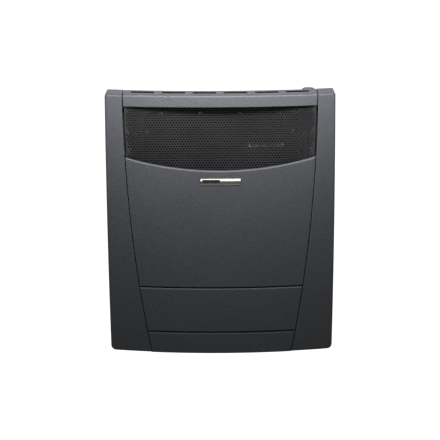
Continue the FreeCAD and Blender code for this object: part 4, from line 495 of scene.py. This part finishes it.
finishes["badge_chrome"] = badge_chrome()
finishes["badge_black"] = moulded(
    "badge_black",
    dark=(0.006, 0.006, 0.007),
    light=(0.010, 0.010, 0.011),
    smooth=0.10,
    rough=0.18,
    texture=0.00001,
    specular=0.18,
)
print("badge finishes ready")

# %% [markdown]
# ## Plastics, rubber, ceramic, fibre and glass
#
# Small controls are moulded plastic. The electrode's insulator is glazed, the gasket is pressed
# mineral fibre, the igniter's lead has a silicone sleeve, and the sight window is a pane of heat
# proof glass that the flame has smoked.


# %% Other finishes
def gasket_fibre():
    """Pressed fibres that lie across the gasket."""
    material, tree, shader = start_finish("gasket_fibre")
    fibres = grains(tree, per_metre=420.0, detail=5.0, stretch=(1.0, 1.0, 0.25))
    tone = tones(tree, fibres, (0.36, 0.34, 0.29), (0.60, 0.58, 0.52))
    tree.links.new(tone, shader.inputs["Base Color"])
    tree.links.new(spread(tree, fibres, low=0.80, high=0.95), shader.inputs["Roughness"])
    relief(tree, shader, (fibres, 0.0003, 0.7))
    return material


def sight_glass():
    """Thick glass, clouded by smoke."""
    material, tree, shader = start_finish("sight_glass", IOR=1.47, Transmission_Weight=0.55)
    clouded = grains(tree, per_metre=90.0, detail=3.0)
    tone = tones(tree, clouded, (0.16, 0.15, 0.13), (0.26, 0.25, 0.22))
    tree.links.new(tone, shader.inputs["Base Color"])
    tree.links.new(spread(tree, clouded, low=0.10, high=0.35), shader.inputs["Roughness"])
    relief(tree, shader, (clouded, 0.00005, 0.2))
    return material


finishes["gasket_fibre"] = gasket_fibre()
finishes["sight_glass"] = sight_glass()
for name, dark, light, smooth, rough in (
    ("electrode_ceramic", (0.72, 0.70, 0.64), (0.82, 0.80, 0.75), 0.12, 0.22),
    ("knob_black", (0.020, 0.020, 0.021), (0.030, 0.030, 0.032), 0.45, 0.60),
    ("knob_grey", (0.085, 0.088, 0.095), (0.105, 0.108, 0.116), 0.40, 0.54),
    ("pointer_white", (0.66, 0.66, 0.64), (0.78, 0.78, 0.76), 0.45, 0.60),
    ("igniter_black", (0.016, 0.016, 0.017), (0.026, 0.026, 0.027), 0.40, 0.55),
    ("button_red", (0.26, 0.020, 0.014), (0.34, 0.030, 0.020), 0.34, 0.48),
    ("lead_insulation", (0.20, 0.050, 0.030), (0.28, 0.080, 0.050), 0.50, 0.66),
):
    finishes[name] = moulded(name, dark, light, smooth, rough)
print(len(finishes), "finishes in all")

# %% [markdown]
# ## Dress the solids
#
# The record says which slot each solid takes its finish from, so one loop dresses them all. Only
# the back plate, the two decks and the columns take the finishes with painted shade in black, and
# the crossbar's screws are black as painted shade, because they sit in the gap beside it. The sight
# window's frame takes the valve's near black, also painted shade, so that it stays faint behind the
# outlet.

# %% Give each solid its finish
slot_of = {row["node"]: row["material_slot"] for row in frame["record"]["subparts"]}
slot_of.update(back_plate="painted_shade_back")
slot_of.update(rear_deck="painted_shade_slots", top_crossbar="painted_shade_slots")
slot_of.update(left_column="painted_shade_column", right_column="painted_shade_column")
# Painted shade: the crossbar's screws and the window's frame take near black finishes.
slot_of.update(crossbar_screws="igniter_black", sight_window_frame="valve_aluminium")
for name, thing in nodes.items():
    for slot in thing.material_slots:
        slot.material = finishes[slot_of[name]]
print(len(slot_of), "solids dressed")

# %% [markdown]
# ## A mesh of rings
#
# Screws, the knob and the pipe union are all round or nearly round about an axis. The lathe
# helper below lays rings of points along the axis and joins them by belts of faces. A ring's
# radius may be a number or a function of the angle, which is enough for flutes, a hexagon or a
# screw thread.


# %% The lathe
def ring(mesh, place, spokes, radius, height):
    """A loop of points about the Z axis, moved by a matrix.

    The radius may be a function of the angle, and the height one of the point's x and y.
    """
    loop = []
    for step in range(spokes):
        angle = 2 * math.pi * step / spokes
        reach = radius(angle) if callable(radius) else radius
        x, y = reach * math.cos(angle), reach * math.sin(angle)
        level = height(x, y) if callable(height) else height
        loop.append(mesh.verts.new(place @ Vector((x, y, level))))
    return loop


def skin(mesh, loops):
    """Joins each closed loop of points to the next by a belt of faces."""
    for near, far in zip(loops, loops[1:]):
        for step in range(len(near)):
            after = (step + 1) % len(near)
            mesh.faces.new((near[step], near[after], far[after], far[step]))


def lathe(mesh, rings, spokes, place):
    """Adds a closed surface to a bmesh from (height, radius) rings."""
    loops = [ring(mesh, place, spokes, radius, height) for height, radius in rings]
    skin(mesh, loops)
    mesh.faces.new(reversed(loops[0]))
    mesh.faces.new(loops[-1])


print("lathe ready")

# %% [markdown]
# ## From a mesh to a piece
#
# Every new piece goes the same way: its normals are made to point outwards, it gets its finish,
# and it is shaded smooth except where two faces meet at a clear angle. A piece that sits
# between two bodies rides on neither, so it names none.


# %% A new piece
SHARP_ANGLE = math.radians(35.0)


def new_piece(name, mesh, finish, body, *replaced):
    """Turns a bmesh into a piece that stands for some solids and may ride on a body."""
    bmesh.ops.recalc_face_normals(mesh, faces=mesh.faces)
    data = bpy.data.meshes.new(name)
    mesh.to_mesh(data)
    mesh.free()
    data.materials.append(finishes[finish])
    data.shade_smooth()
    data.set_sharp_from_angle(angle=SHARP_ANGLE)
    piece = bpy.data.objects.new(name, data)
    bpy.context.scene.collection.objects.link(piece)
    if body:
        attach(piece, body)
    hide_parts(*replaced)
    print(name, "has", len(data.polygons), "faces")
    return piece


print("pieces can be made")

# %% [markdown]
# ## Where the screws are
#
# The solids say where the screws are: each screw is one loose part of a solid's mesh. Walking
# along the edges from a point finds the whole of its part.


# %% Loose parts
SAME_POINT = 1e-6


def loose_parts(name):
    """The lowest and highest corner of each separate part of a solid's mesh."""
    mesh = bmesh.new()
    mesh.from_mesh(nodes[name].data)
    bmesh.ops.remove_doubles(mesh, verts=mesh.verts, dist=SAME_POINT)
    left = set(mesh.verts)
    boxes = []
    while left:
        waiting = [left.pop()]
        part = []
        while waiting:
            point = waiting.pop()
            part.append(tuple(point.co))
            for edge in point.link_edges:
                other = edge.other_vert(point)
                if other in left:
                    left.remove(other)
                    waiting.append(other)
        axes = list(zip(*part))
        boxes.append((Vector(map(min, axes)), Vector(map(max, axes))))
    mesh.free()
    return sorted(boxes, key=lambda box: tuple(round(v, 4) for v in box[0]))


print(len(loose_parts("casing_screws")), "casing screws found")

# %% [markdown]
# ## Cross recessed screws
#
# The solids have plain discs for screw heads. A real pan head is domed and has a cross shaped
# recess for the driver. Each head is a fine round grid whose points are lowered where they fall
# inside the cross. The shares are of the head's radius or height, apart from the rim, which is of
# the arm's own width, and the tip, which is of the shank.


# %% One recessed screw
HEAD_RINGS = 12
HEAD_SPOKES = 72
DOME_DROP = 0.5
RECESS_ARM = 0.13
RECESS_RIM = 1.5
RECESS_REACH = 0.56
RECESS_DEPTH = 0.62
TIP_START = 0.8
TIP_RADIUS = 0.3


def recessed_screw(mesh, seat, outward, head_radius, head_height, shank_radius, shank_length):
    """One screw: a domed head with a cross recess above the seat, and a shank below it."""
    turn = Vector((0, 0, 1)).rotation_difference(outward).to_matrix().to_4x4()
    place = Matrix.Translation(seat) @ turn
    arm = head_radius * RECESS_ARM
    reach = head_radius * RECESS_REACH
    depth = head_height * RECESS_DEPTH

    def top(x, y):
        """The height of the dome at a point, less the recess."""
        away = math.hypot(x, y) / head_radius
        dome = head_height * (1 - DOME_DROP * away**4)
        across, lengthways = sorted((abs(x), abs(y)))
        within_arm = min(max((arm * RECESS_RIM - across) / arm, 0.0), 1.0)
        within_reach = min(max((reach - lengthways) / arm, 0.0), 1.0)
        inside = within_arm * within_reach
        return dome - depth * inside

    rings = []
    for count in range(1, HEAD_RINGS + 1):
        radius = head_radius * count / HEAD_RINGS
        rings.append(ring(mesh, place, HEAD_SPOKES, radius, top))
    for radius, height in (
        (head_radius, 0.0),
        (shank_radius, 0.0),
        (shank_radius, -shank_length * TIP_START),
        (shank_radius * TIP_RADIUS, -shank_length),
    ):
        rings.append(ring(mesh, place, HEAD_SPOKES, radius, height))
    skin(mesh, rings)
    middle = mesh.verts.new(place @ Vector((0, 0, top(0, 0))))
    for step in range(HEAD_SPOKES):
        mesh.faces.new((middle, rings[0][step], rings[0][(step + 1) % HEAD_SPOKES]))
    mesh.faces.new(rings[-1])


print("each screw has", HEAD_RINGS, "rings on its head")

# %% [markdown]
# ## The screws in their places
#
# The casing's screws face out of its two sides, and the window's and the chamber's face the room.
# A screw's length is measured along the way it faces, and the head's radius across it.


# %% Screws in place
SHANK_SHARE = 0.55


def way_out(axis, middle):
    """The way a screw faces: out of its own side along X, or towards the room along Y."""
    if axis == "X":
        return Vector((math.copysign(1.0, middle.x), 0, 0))
    return Vector((0, -1, 0))


def screws_for(name, node, finish, axis, head_height):
    """Replaces a solid of plain screws by recessed ones in the same places."""
    mesh = bmesh.new()
    for low, high in loose_parts(node):
        middle = (low + high) / 2
        outward = way_out(axis, middle)
        length = abs((high - low).dot(outward))
        width_squared = (high - low).length_squared - length**2
        head_radius = math.sqrt(width_squared / 2) / 2
        shank = head_radius * SHANK_SHARE
        seat = middle + outward * (length / 2 - head_height)
        recessed_screw(mesh, seat, outward, head_radius, head_height, shank, length - head_height)
    new_piece(name, mesh, finish, "root", node)


screws_for("casing_screw_heads", "casing_screws", "zinc_screws", "X", head_height=0.001)
screws_for("window_screw_heads", "sight_window_screws", "copper_screws", "Y", head_height=0.002)
screws_for("chamber_screw_heads", "chamber_screws", "zinc_screws", "Y", head_height=0.002)

# %% [markdown]
# ## The control knob
#
# The knob stands behind the crossbar, and only its crown shows over the deck. It is moulded
# with twelve finger flutes and a rounded crown. The lathe makes it in one piece: the flutes are
# a radius that dips at every twelfth of a turn, fading out over the first third of the crown.

# %% Fluted knob
knob_low, knob_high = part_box("control_knob")
knob_middle = (knob_low + knob_high) / 2
KNOB_RADIUS = (knob_high.x - knob_low.x) / 2
CROWN_RADIUS = 0.0080
CROWN_DROP = 0.0050
CROWN_STEPS = 10
SIDE_FULLNESS = 0.9
TOP_FULLNESS = 1.1
FOOT_CHAMFER = 0.0006
FLUTES = 12
FLUTE_RADIUS = 0.0013
FLUTE_FADE = 3
SPOKES_PER_FLUTE = 20


def fluted(radius, share):
    """A radius that dips into a round flute at each twelfth of a turn."""

    def reach(angle):
        turn = (angle * FLUTES / (2 * math.pi) + 0.5) % 1.0 - 0.5
        aside = abs(turn) * 2 * math.pi * radius / FLUTES
        dip = math.sqrt(max(0.0, 1 - (aside / FLUTE_RADIUS) ** 2)) * FLUTE_RADIUS * share
        return radius - dip

    return reach


def crown_rings():
    """The rounded shoulder from the fluted side up to the flat crown."""
    rings = []
    for step in range(1, CROWN_STEPS + 1):
        turn = math.pi / 2 * step / CROWN_STEPS
        radius = CROWN_RADIUS + (KNOB_RADIUS - CROWN_RADIUS) * math.cos(turn) ** SIDE_FULLNESS
        height = knob_high.z - CROWN_DROP * (1 - math.sin(turn) ** TOP_FULLNESS)
        flute_share = max(0.0, 1 - FLUTE_FADE * step / CROWN_STEPS)
        rings.append((height, fluted(radius, flute_share)))
    return rings


rings = [
    (knob_low.z, fluted(KNOB_RADIUS - FOOT_CHAMFER, 1.0)),
    (knob_low.z + FOOT_CHAMFER, fluted(KNOB_RADIUS, 1.0)),
    (knob_high.z - CROWN_DROP, fluted(KNOB_RADIUS, 1.0)),
    *crown_rings(),
]
mesh = bmesh.new()
knob_place = Matrix.Translation((knob_middle.x, knob_middle.y, 0))
lathe(mesh, rings, FLUTES * SPOKES_PER_FLUTE, knob_place)
new_piece("fluted_knob", mesh, "knob_grey", "knob", "control_knob")

# %% [markdown]
# ## The gas union
#
# The supply pipe screws on from below. The solid has the thread's outer size as a plain
# cylinder and the nut as a round collar. Here the lathe's radius follows a helix for the
# thread, and the sides of a hexagon with turned down corners for the nut.

# %% Threaded union
union_low, union_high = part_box("inlet_union")
union_middle = (union_low + union_high) / 2
NUT_RADIUS = (union_high.x - union_low.x) / 2
NUT_OVERHANG = 0.004
NUT_CORNER_SHARE = 0.91
NUT_CHAMFER = 0.0008
NECK_HEIGHT = 0.004
NECK_FOOT_RADIUS = 0.0100
NECK_TOP_RADIUS = 0.0080
THREAD_RADIUS = NUT_RADIUS - NUT_OVERHANG
THREAD_LENGTH = 0.0187
THREAD_PITCH = 0.0018
THREAD_DEPTH = 0.0010
BORE_RADIUS = 0.0045
ROWS_PER_TURN = 8
UNION_SPOKES = 96


def thread_at(height):
    """The thread's radius at a height, as a function of the angle."""

    def reach(angle):
        phase = (height / THREAD_PITCH - angle / (2 * math.pi)) % 1.0
        groove = 1 - abs(2 * phase - 1)
        return THREAD_RADIUS - THREAD_DEPTH * groove

    return reach


def hexagon(limit):
    """The sides of the nut, no further out than a limit."""

    def reach(angle):
        from_flat = (angle % (math.pi / 3)) - math.pi / 6
        return min(limit, NUT_RADIUS * math.cos(math.pi / 6) / math.cos(from_flat))

    return reach


nut_low = union_low.z + THREAD_LENGTH
nut_high = union_high.z - NECK_HEIGHT
groove_radius = THREAD_RADIUS - THREAD_DEPTH
turned_corners = hexagon(NUT_RADIUS * NUT_CORNER_SHARE)
rows = int(THREAD_LENGTH / THREAD_PITCH * ROWS_PER_TURN)
rings = [(nut_low, BORE_RADIUS), (union_low.z, BORE_RADIUS), (union_low.z, groove_radius)]
for row in range(1, rows):
    height = union_low.z + THREAD_LENGTH * row / rows
    rings.append((height, thread_at(height)))
rings += [
    (nut_low, groove_radius),
    (nut_low, turned_corners),
    (nut_low + NUT_CHAMFER, hexagon(NUT_RADIUS)),
    (nut_high - NUT_CHAMFER, hexagon(NUT_RADIUS)),
    (nut_high, turned_corners),
    (nut_high, NECK_FOOT_RADIUS),
    (union_high.z, NECK_TOP_RADIUS),
]
mesh = bmesh.new()
lathe(mesh, rings, UNION_SPOKES, Matrix.Translation((union_middle.x, union_middle.y, 0)))
new_piece("threaded_union", mesh, "brass_fittings", "root", "inlet_union")

# %% [markdown]
# ## The badge plate
#
# The solid badge is a plain plate. A real one is pressed: a flat face above, and below it two
# bevels that lean back, each a little more, and so mirror something darker. The plate also follows
# the curve of the panel. One profile from top to bottom is repeated along that curve, and the two
# ends are drawn in a little to round the corners. Smooth shading blends the directions of the
# faces that meet at a point, so a narrow strip on each side of a bend keeps the wide faces flat.
# Each point of the profile is a share of the height, from the top down, and a depth in metres.

# %% Bevelled badge
CASING_AXIS_Y = 0.955
BADGE_LEAN = 0.038
SLICES = 96
END_ROUNDING = 0.0016
badge_height = badge_high.z - badge_low.z
badge_half = (badge_high.x - badge_low.x) / 2
face_depth = CASING_AXIS_Y - badge_low.y
BADGE_PROFILE = (
    (0.010, 0.0024),
    (0.010, 0.0003),
    (0.018, 0.0001),
    (0.030, 0.0000),
    (0.040, 0.0000),
    (0.365, 0.0000),
    (0.375, 0.0000),
    (0.385, 0.00001),
    (0.650, 0.0005),
    (0.660, 0.0005),
    (0.970, 0.0016),
    (1.000, 0.0019),
    (1.000, 0.0024),
)

mesh = bmesh.new()
columns = []
for step in range(SLICES + 1):
    turn = math.pi * (step / SLICES - 0.5)
    x = badge_half * math.sin(turn)
    from_end = badge_half - abs(x)
    into_corner = max(0.0, END_ROUNDING - from_end)
    short = END_ROUNDING - math.sqrt(max(0.0, END_ROUNDING**2 - into_corner**2))
    curve = CASING_AXIS_Y - math.sqrt(face_depth**2 - x**2)
    column = []
    for share, depth in BADGE_PROFILE:
        z = badge_high.z - short - share * (badge_height - 2 * short)
        lean = (badge_high.z - z) * BADGE_LEAN
        column.append(mesh.verts.new((x, curve + depth + lean, z)))
    columns.append(column)
skin(mesh, columns)
mesh.faces.new(columns[0])
mesh.faces.new(reversed(columns[-1]))
new_piece("bevelled_badge", mesh, "badge_chrome", "root", "badge_plate")

# %% [markdown]
# ## The springs
#
# The knob and the igniter's button each stand on a coil spring, which gets shorter when they are
# pressed. Both coils are made again as meshes in the places of their solids, riding on no body.
# A real spring's last turn at each end lies flat, so the helix rises slowly there.


# %% Coil springs
WIRE_RADIUS = 0.0004
COIL_TURNS = 3
WIRE_SIDES = 12
STEPS_PER_TURN = 40


def coil_spring(name, node):
    """A coil in a solid's place, riding on no body."""
    low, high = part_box(node)
    middle = (low + high) / 2
    radius = (high.x - low.x) / 2 - WIRE_RADIUS
    rise = high.z - low.z - 2 * WIRE_RADIUS
    mesh = bmesh.new()
    loops = []
    for step in range(COIL_TURNS * STEPS_PER_TURN + 1):
        share = step / (COIL_TURNS * STEPS_PER_TURN)
        turn = 2 * math.pi * COIL_TURNS * share
        outward = Vector((math.cos(turn), math.sin(turn), 0))
        height = low.z + WIRE_RADIUS + rise * share * share * (3 - 2 * share)
        centre = Vector((middle.x, middle.y, height)) + outward * radius
        loop = []
        for side in range(WIRE_SIDES):
            angle = 2 * math.pi * side / WIRE_SIDES
            across = outward * math.cos(angle) + Vector((0, 0, math.sin(angle)))
            loop.append(mesh.verts.new(centre + across * WIRE_RADIUS))
        loops.append(loop)
    skin(mesh, loops)
    mesh.faces.new(loops[0])
    mesh.faces.new(reversed(loops[-1]))
    spring = new_piece(name, mesh, "spring_steel", None, node)
    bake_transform(spring)


coil_spring("knob_spring_coil", "knob_return_spring")
coil_spring("igniter_spring_coil", "igniter_spring")

# %% [markdown]
# ## The floor
#
# The floor is plain, pale and far larger than the view, so that its edge never shows. It glows
# by itself, and its light is hidden from the heater, which would otherwise be lit from below.


# %% Pale floor
FLOOR_HEIGHT = -1.7
FLOOR_REACH = 60.0
FLOOR_GLOW = 1.0


def studio_floor(height, reach):
    """A square sheet that glows, so that no shadow greys it."""
    data = bpy.data.meshes.new("studio_floor")
    corners = [(x * reach, y * reach, height) for x, y in ((-1, -1), (1, -1), (1, 1), (-1, 1))]
    data.from_pydata(corners, [], [(0, 1, 2, 3)])
    material, tree, shader = start_finish("studio_floor", Roughness=0.9)
    cloud = grains(tree, per_metre=0.7, detail=1.0)
    tone = tones(tree, cloud, (0.90, 0.90, 0.90), (0.92, 0.92, 0.92))
    tree.links.new(tone, shader.inputs["Base Color"])
    shader.inputs["Emission Color"].default_value = (1.0, 1.0, 1.0, 1.0)
    shader.inputs["Emission Strength"].default_value = FLOOR_GLOW
    data.materials.append(material)
    floor = bpy.data.objects.new("studio_floor", data)
    bpy.context.scene.collection.objects.link(floor)
    return floor


floor = studio_floor(FLOOR_HEIGHT, FLOOR_REACH)
floor.visible_diffuse = False
floor.visible_glossy = False
print("floor at", FLOOR_HEIGHT, "m")

# %% [markdown]
# ## The lights
#
# A dark satin casing shows its shape by how fast the light falls off along it. One long, narrow
# soft box hangs close above and in front of the top, so the crown is bright and the foot of the
# casing is nearly black. A weak box on each side and one behind keep the flanks and the back
# readable when the camera goes round. A pale card stands low in front, where a mirror would see
# it from the camera: the badge is the only mirror there. The world is an even, dim grey with a
# trace of blue.
#
# A camera that goes round would see the boxes, so they are hidden from it and keep their light.


# %% Soft lights
def soft_box(name, place, target, size, watts, colour):
    """A rectangular lamp at a place that shines on a target; the size is its two sides."""
    data = bpy.data.lights.new(name, "AREA")
    data.shape = "RECTANGLE"
    data.size, data.size_y = size
    data.energy = watts
    data.color = colour
    lamp = bpy.data.objects.new(name, data)
    lamp.location = place
    lamp.rotation_euler = (Vector(target) - Vector(place)).to_track_quat("-Z", "Y").to_euler()
    lamp.visible_camera = False
    bpy.context.scene.collection.objects.link(lamp)
    print(name, watts, "W")


COOL_WHITE = (0.97, 0.985, 1.0)
WARM_WHITE = (1.0, 0.97, 0.94)
HEATER = (0.0, 0.0, 0.0)
CROWN = (0.0, -0.17, 0.22)
BADGE = (0.0, -0.17, 0.085)
soft_box("near_box", (0.0, -0.45, 0.52), CROWN, size=(0.9, 0.12), watts=7.6, colour=COOL_WHITE)
for side in (-1, 1):
    place = (side * 2.0, 1.3, 0.5)
    soft_box("side_box", place, HEATER, size=(1.2, 1.6), watts=7.5, colour=COOL_WHITE)
soft_box("rear_box", (0.0, 2.4, 0.5), HEATER, size=(2.0, 1.4), watts=12.5, colour=COOL_WHITE)
soft_box("badge_card", (0.0, -3.0, -0.8), BADGE, size=(0.9, 0.5), watts=2.0, colour=WARM_WHITE)


def studio_world(strength):
    """An even, dim and slightly cool world."""
    world = bpy.data.worlds.new("studio")
    world.use_nodes = True
    background = world.node_tree.nodes["Background"]
    background.inputs["Color"].default_value = (*COOL_WHITE, 1.0)
    background.inputs["Strength"].default_value = strength
    bpy.context.scene.world = world


studio_world(strength=0.185)
bpy.context.scene.view_settings.view_transform = "Standard"

# %% [markdown]
# ## The camera
#
# The camera stands four metres away with a long lens and looks thirteen degrees down: far enough
# for the sides to stay nearly parallel, and high enough to see the air slots in the deck. It is
# rolled by a third of a degree. The lens and the sensor are in millimetres, as on a real camera.
# Its turn is built from three unit vectors, right, up and back.

# %% Camera
PITCH = math.radians(13.0)
ROLL = math.radians(0.35)
LENS = 140.05
SENSOR_WIDTH = 36.0
AIM = Vector((-0.00180, -0.140, 0.01370))
DISTANCE = 4.0

ahead = Vector((0, math.cos(PITCH), -math.sin(PITCH)))
level_right = Vector((1, 0, 0))
level_up = Vector((0, math.sin(PITCH), math.cos(PITCH)))
right = level_right * math.cos(ROLL) - level_up * math.sin(ROLL)
up = level_right * math.sin(ROLL) + level_up * math.cos(ROLL)
lens = bpy.data.cameras.new("camera")
lens.lens = LENS
lens.sensor_width = SENSOR_WIDTH
camera = bpy.data.objects.new("camera", lens)
turn = Matrix((right, up, -ahead)).transposed().to_4x4()
camera.matrix_world = Matrix.Translation(AIM - ahead * DISTANCE) @ turn
bpy.context.scene.collection.objects.link(camera)
bpy.context.scene.camera = camera
print("camera at", [round(v, 3) for v in camera.matrix_world.translation])
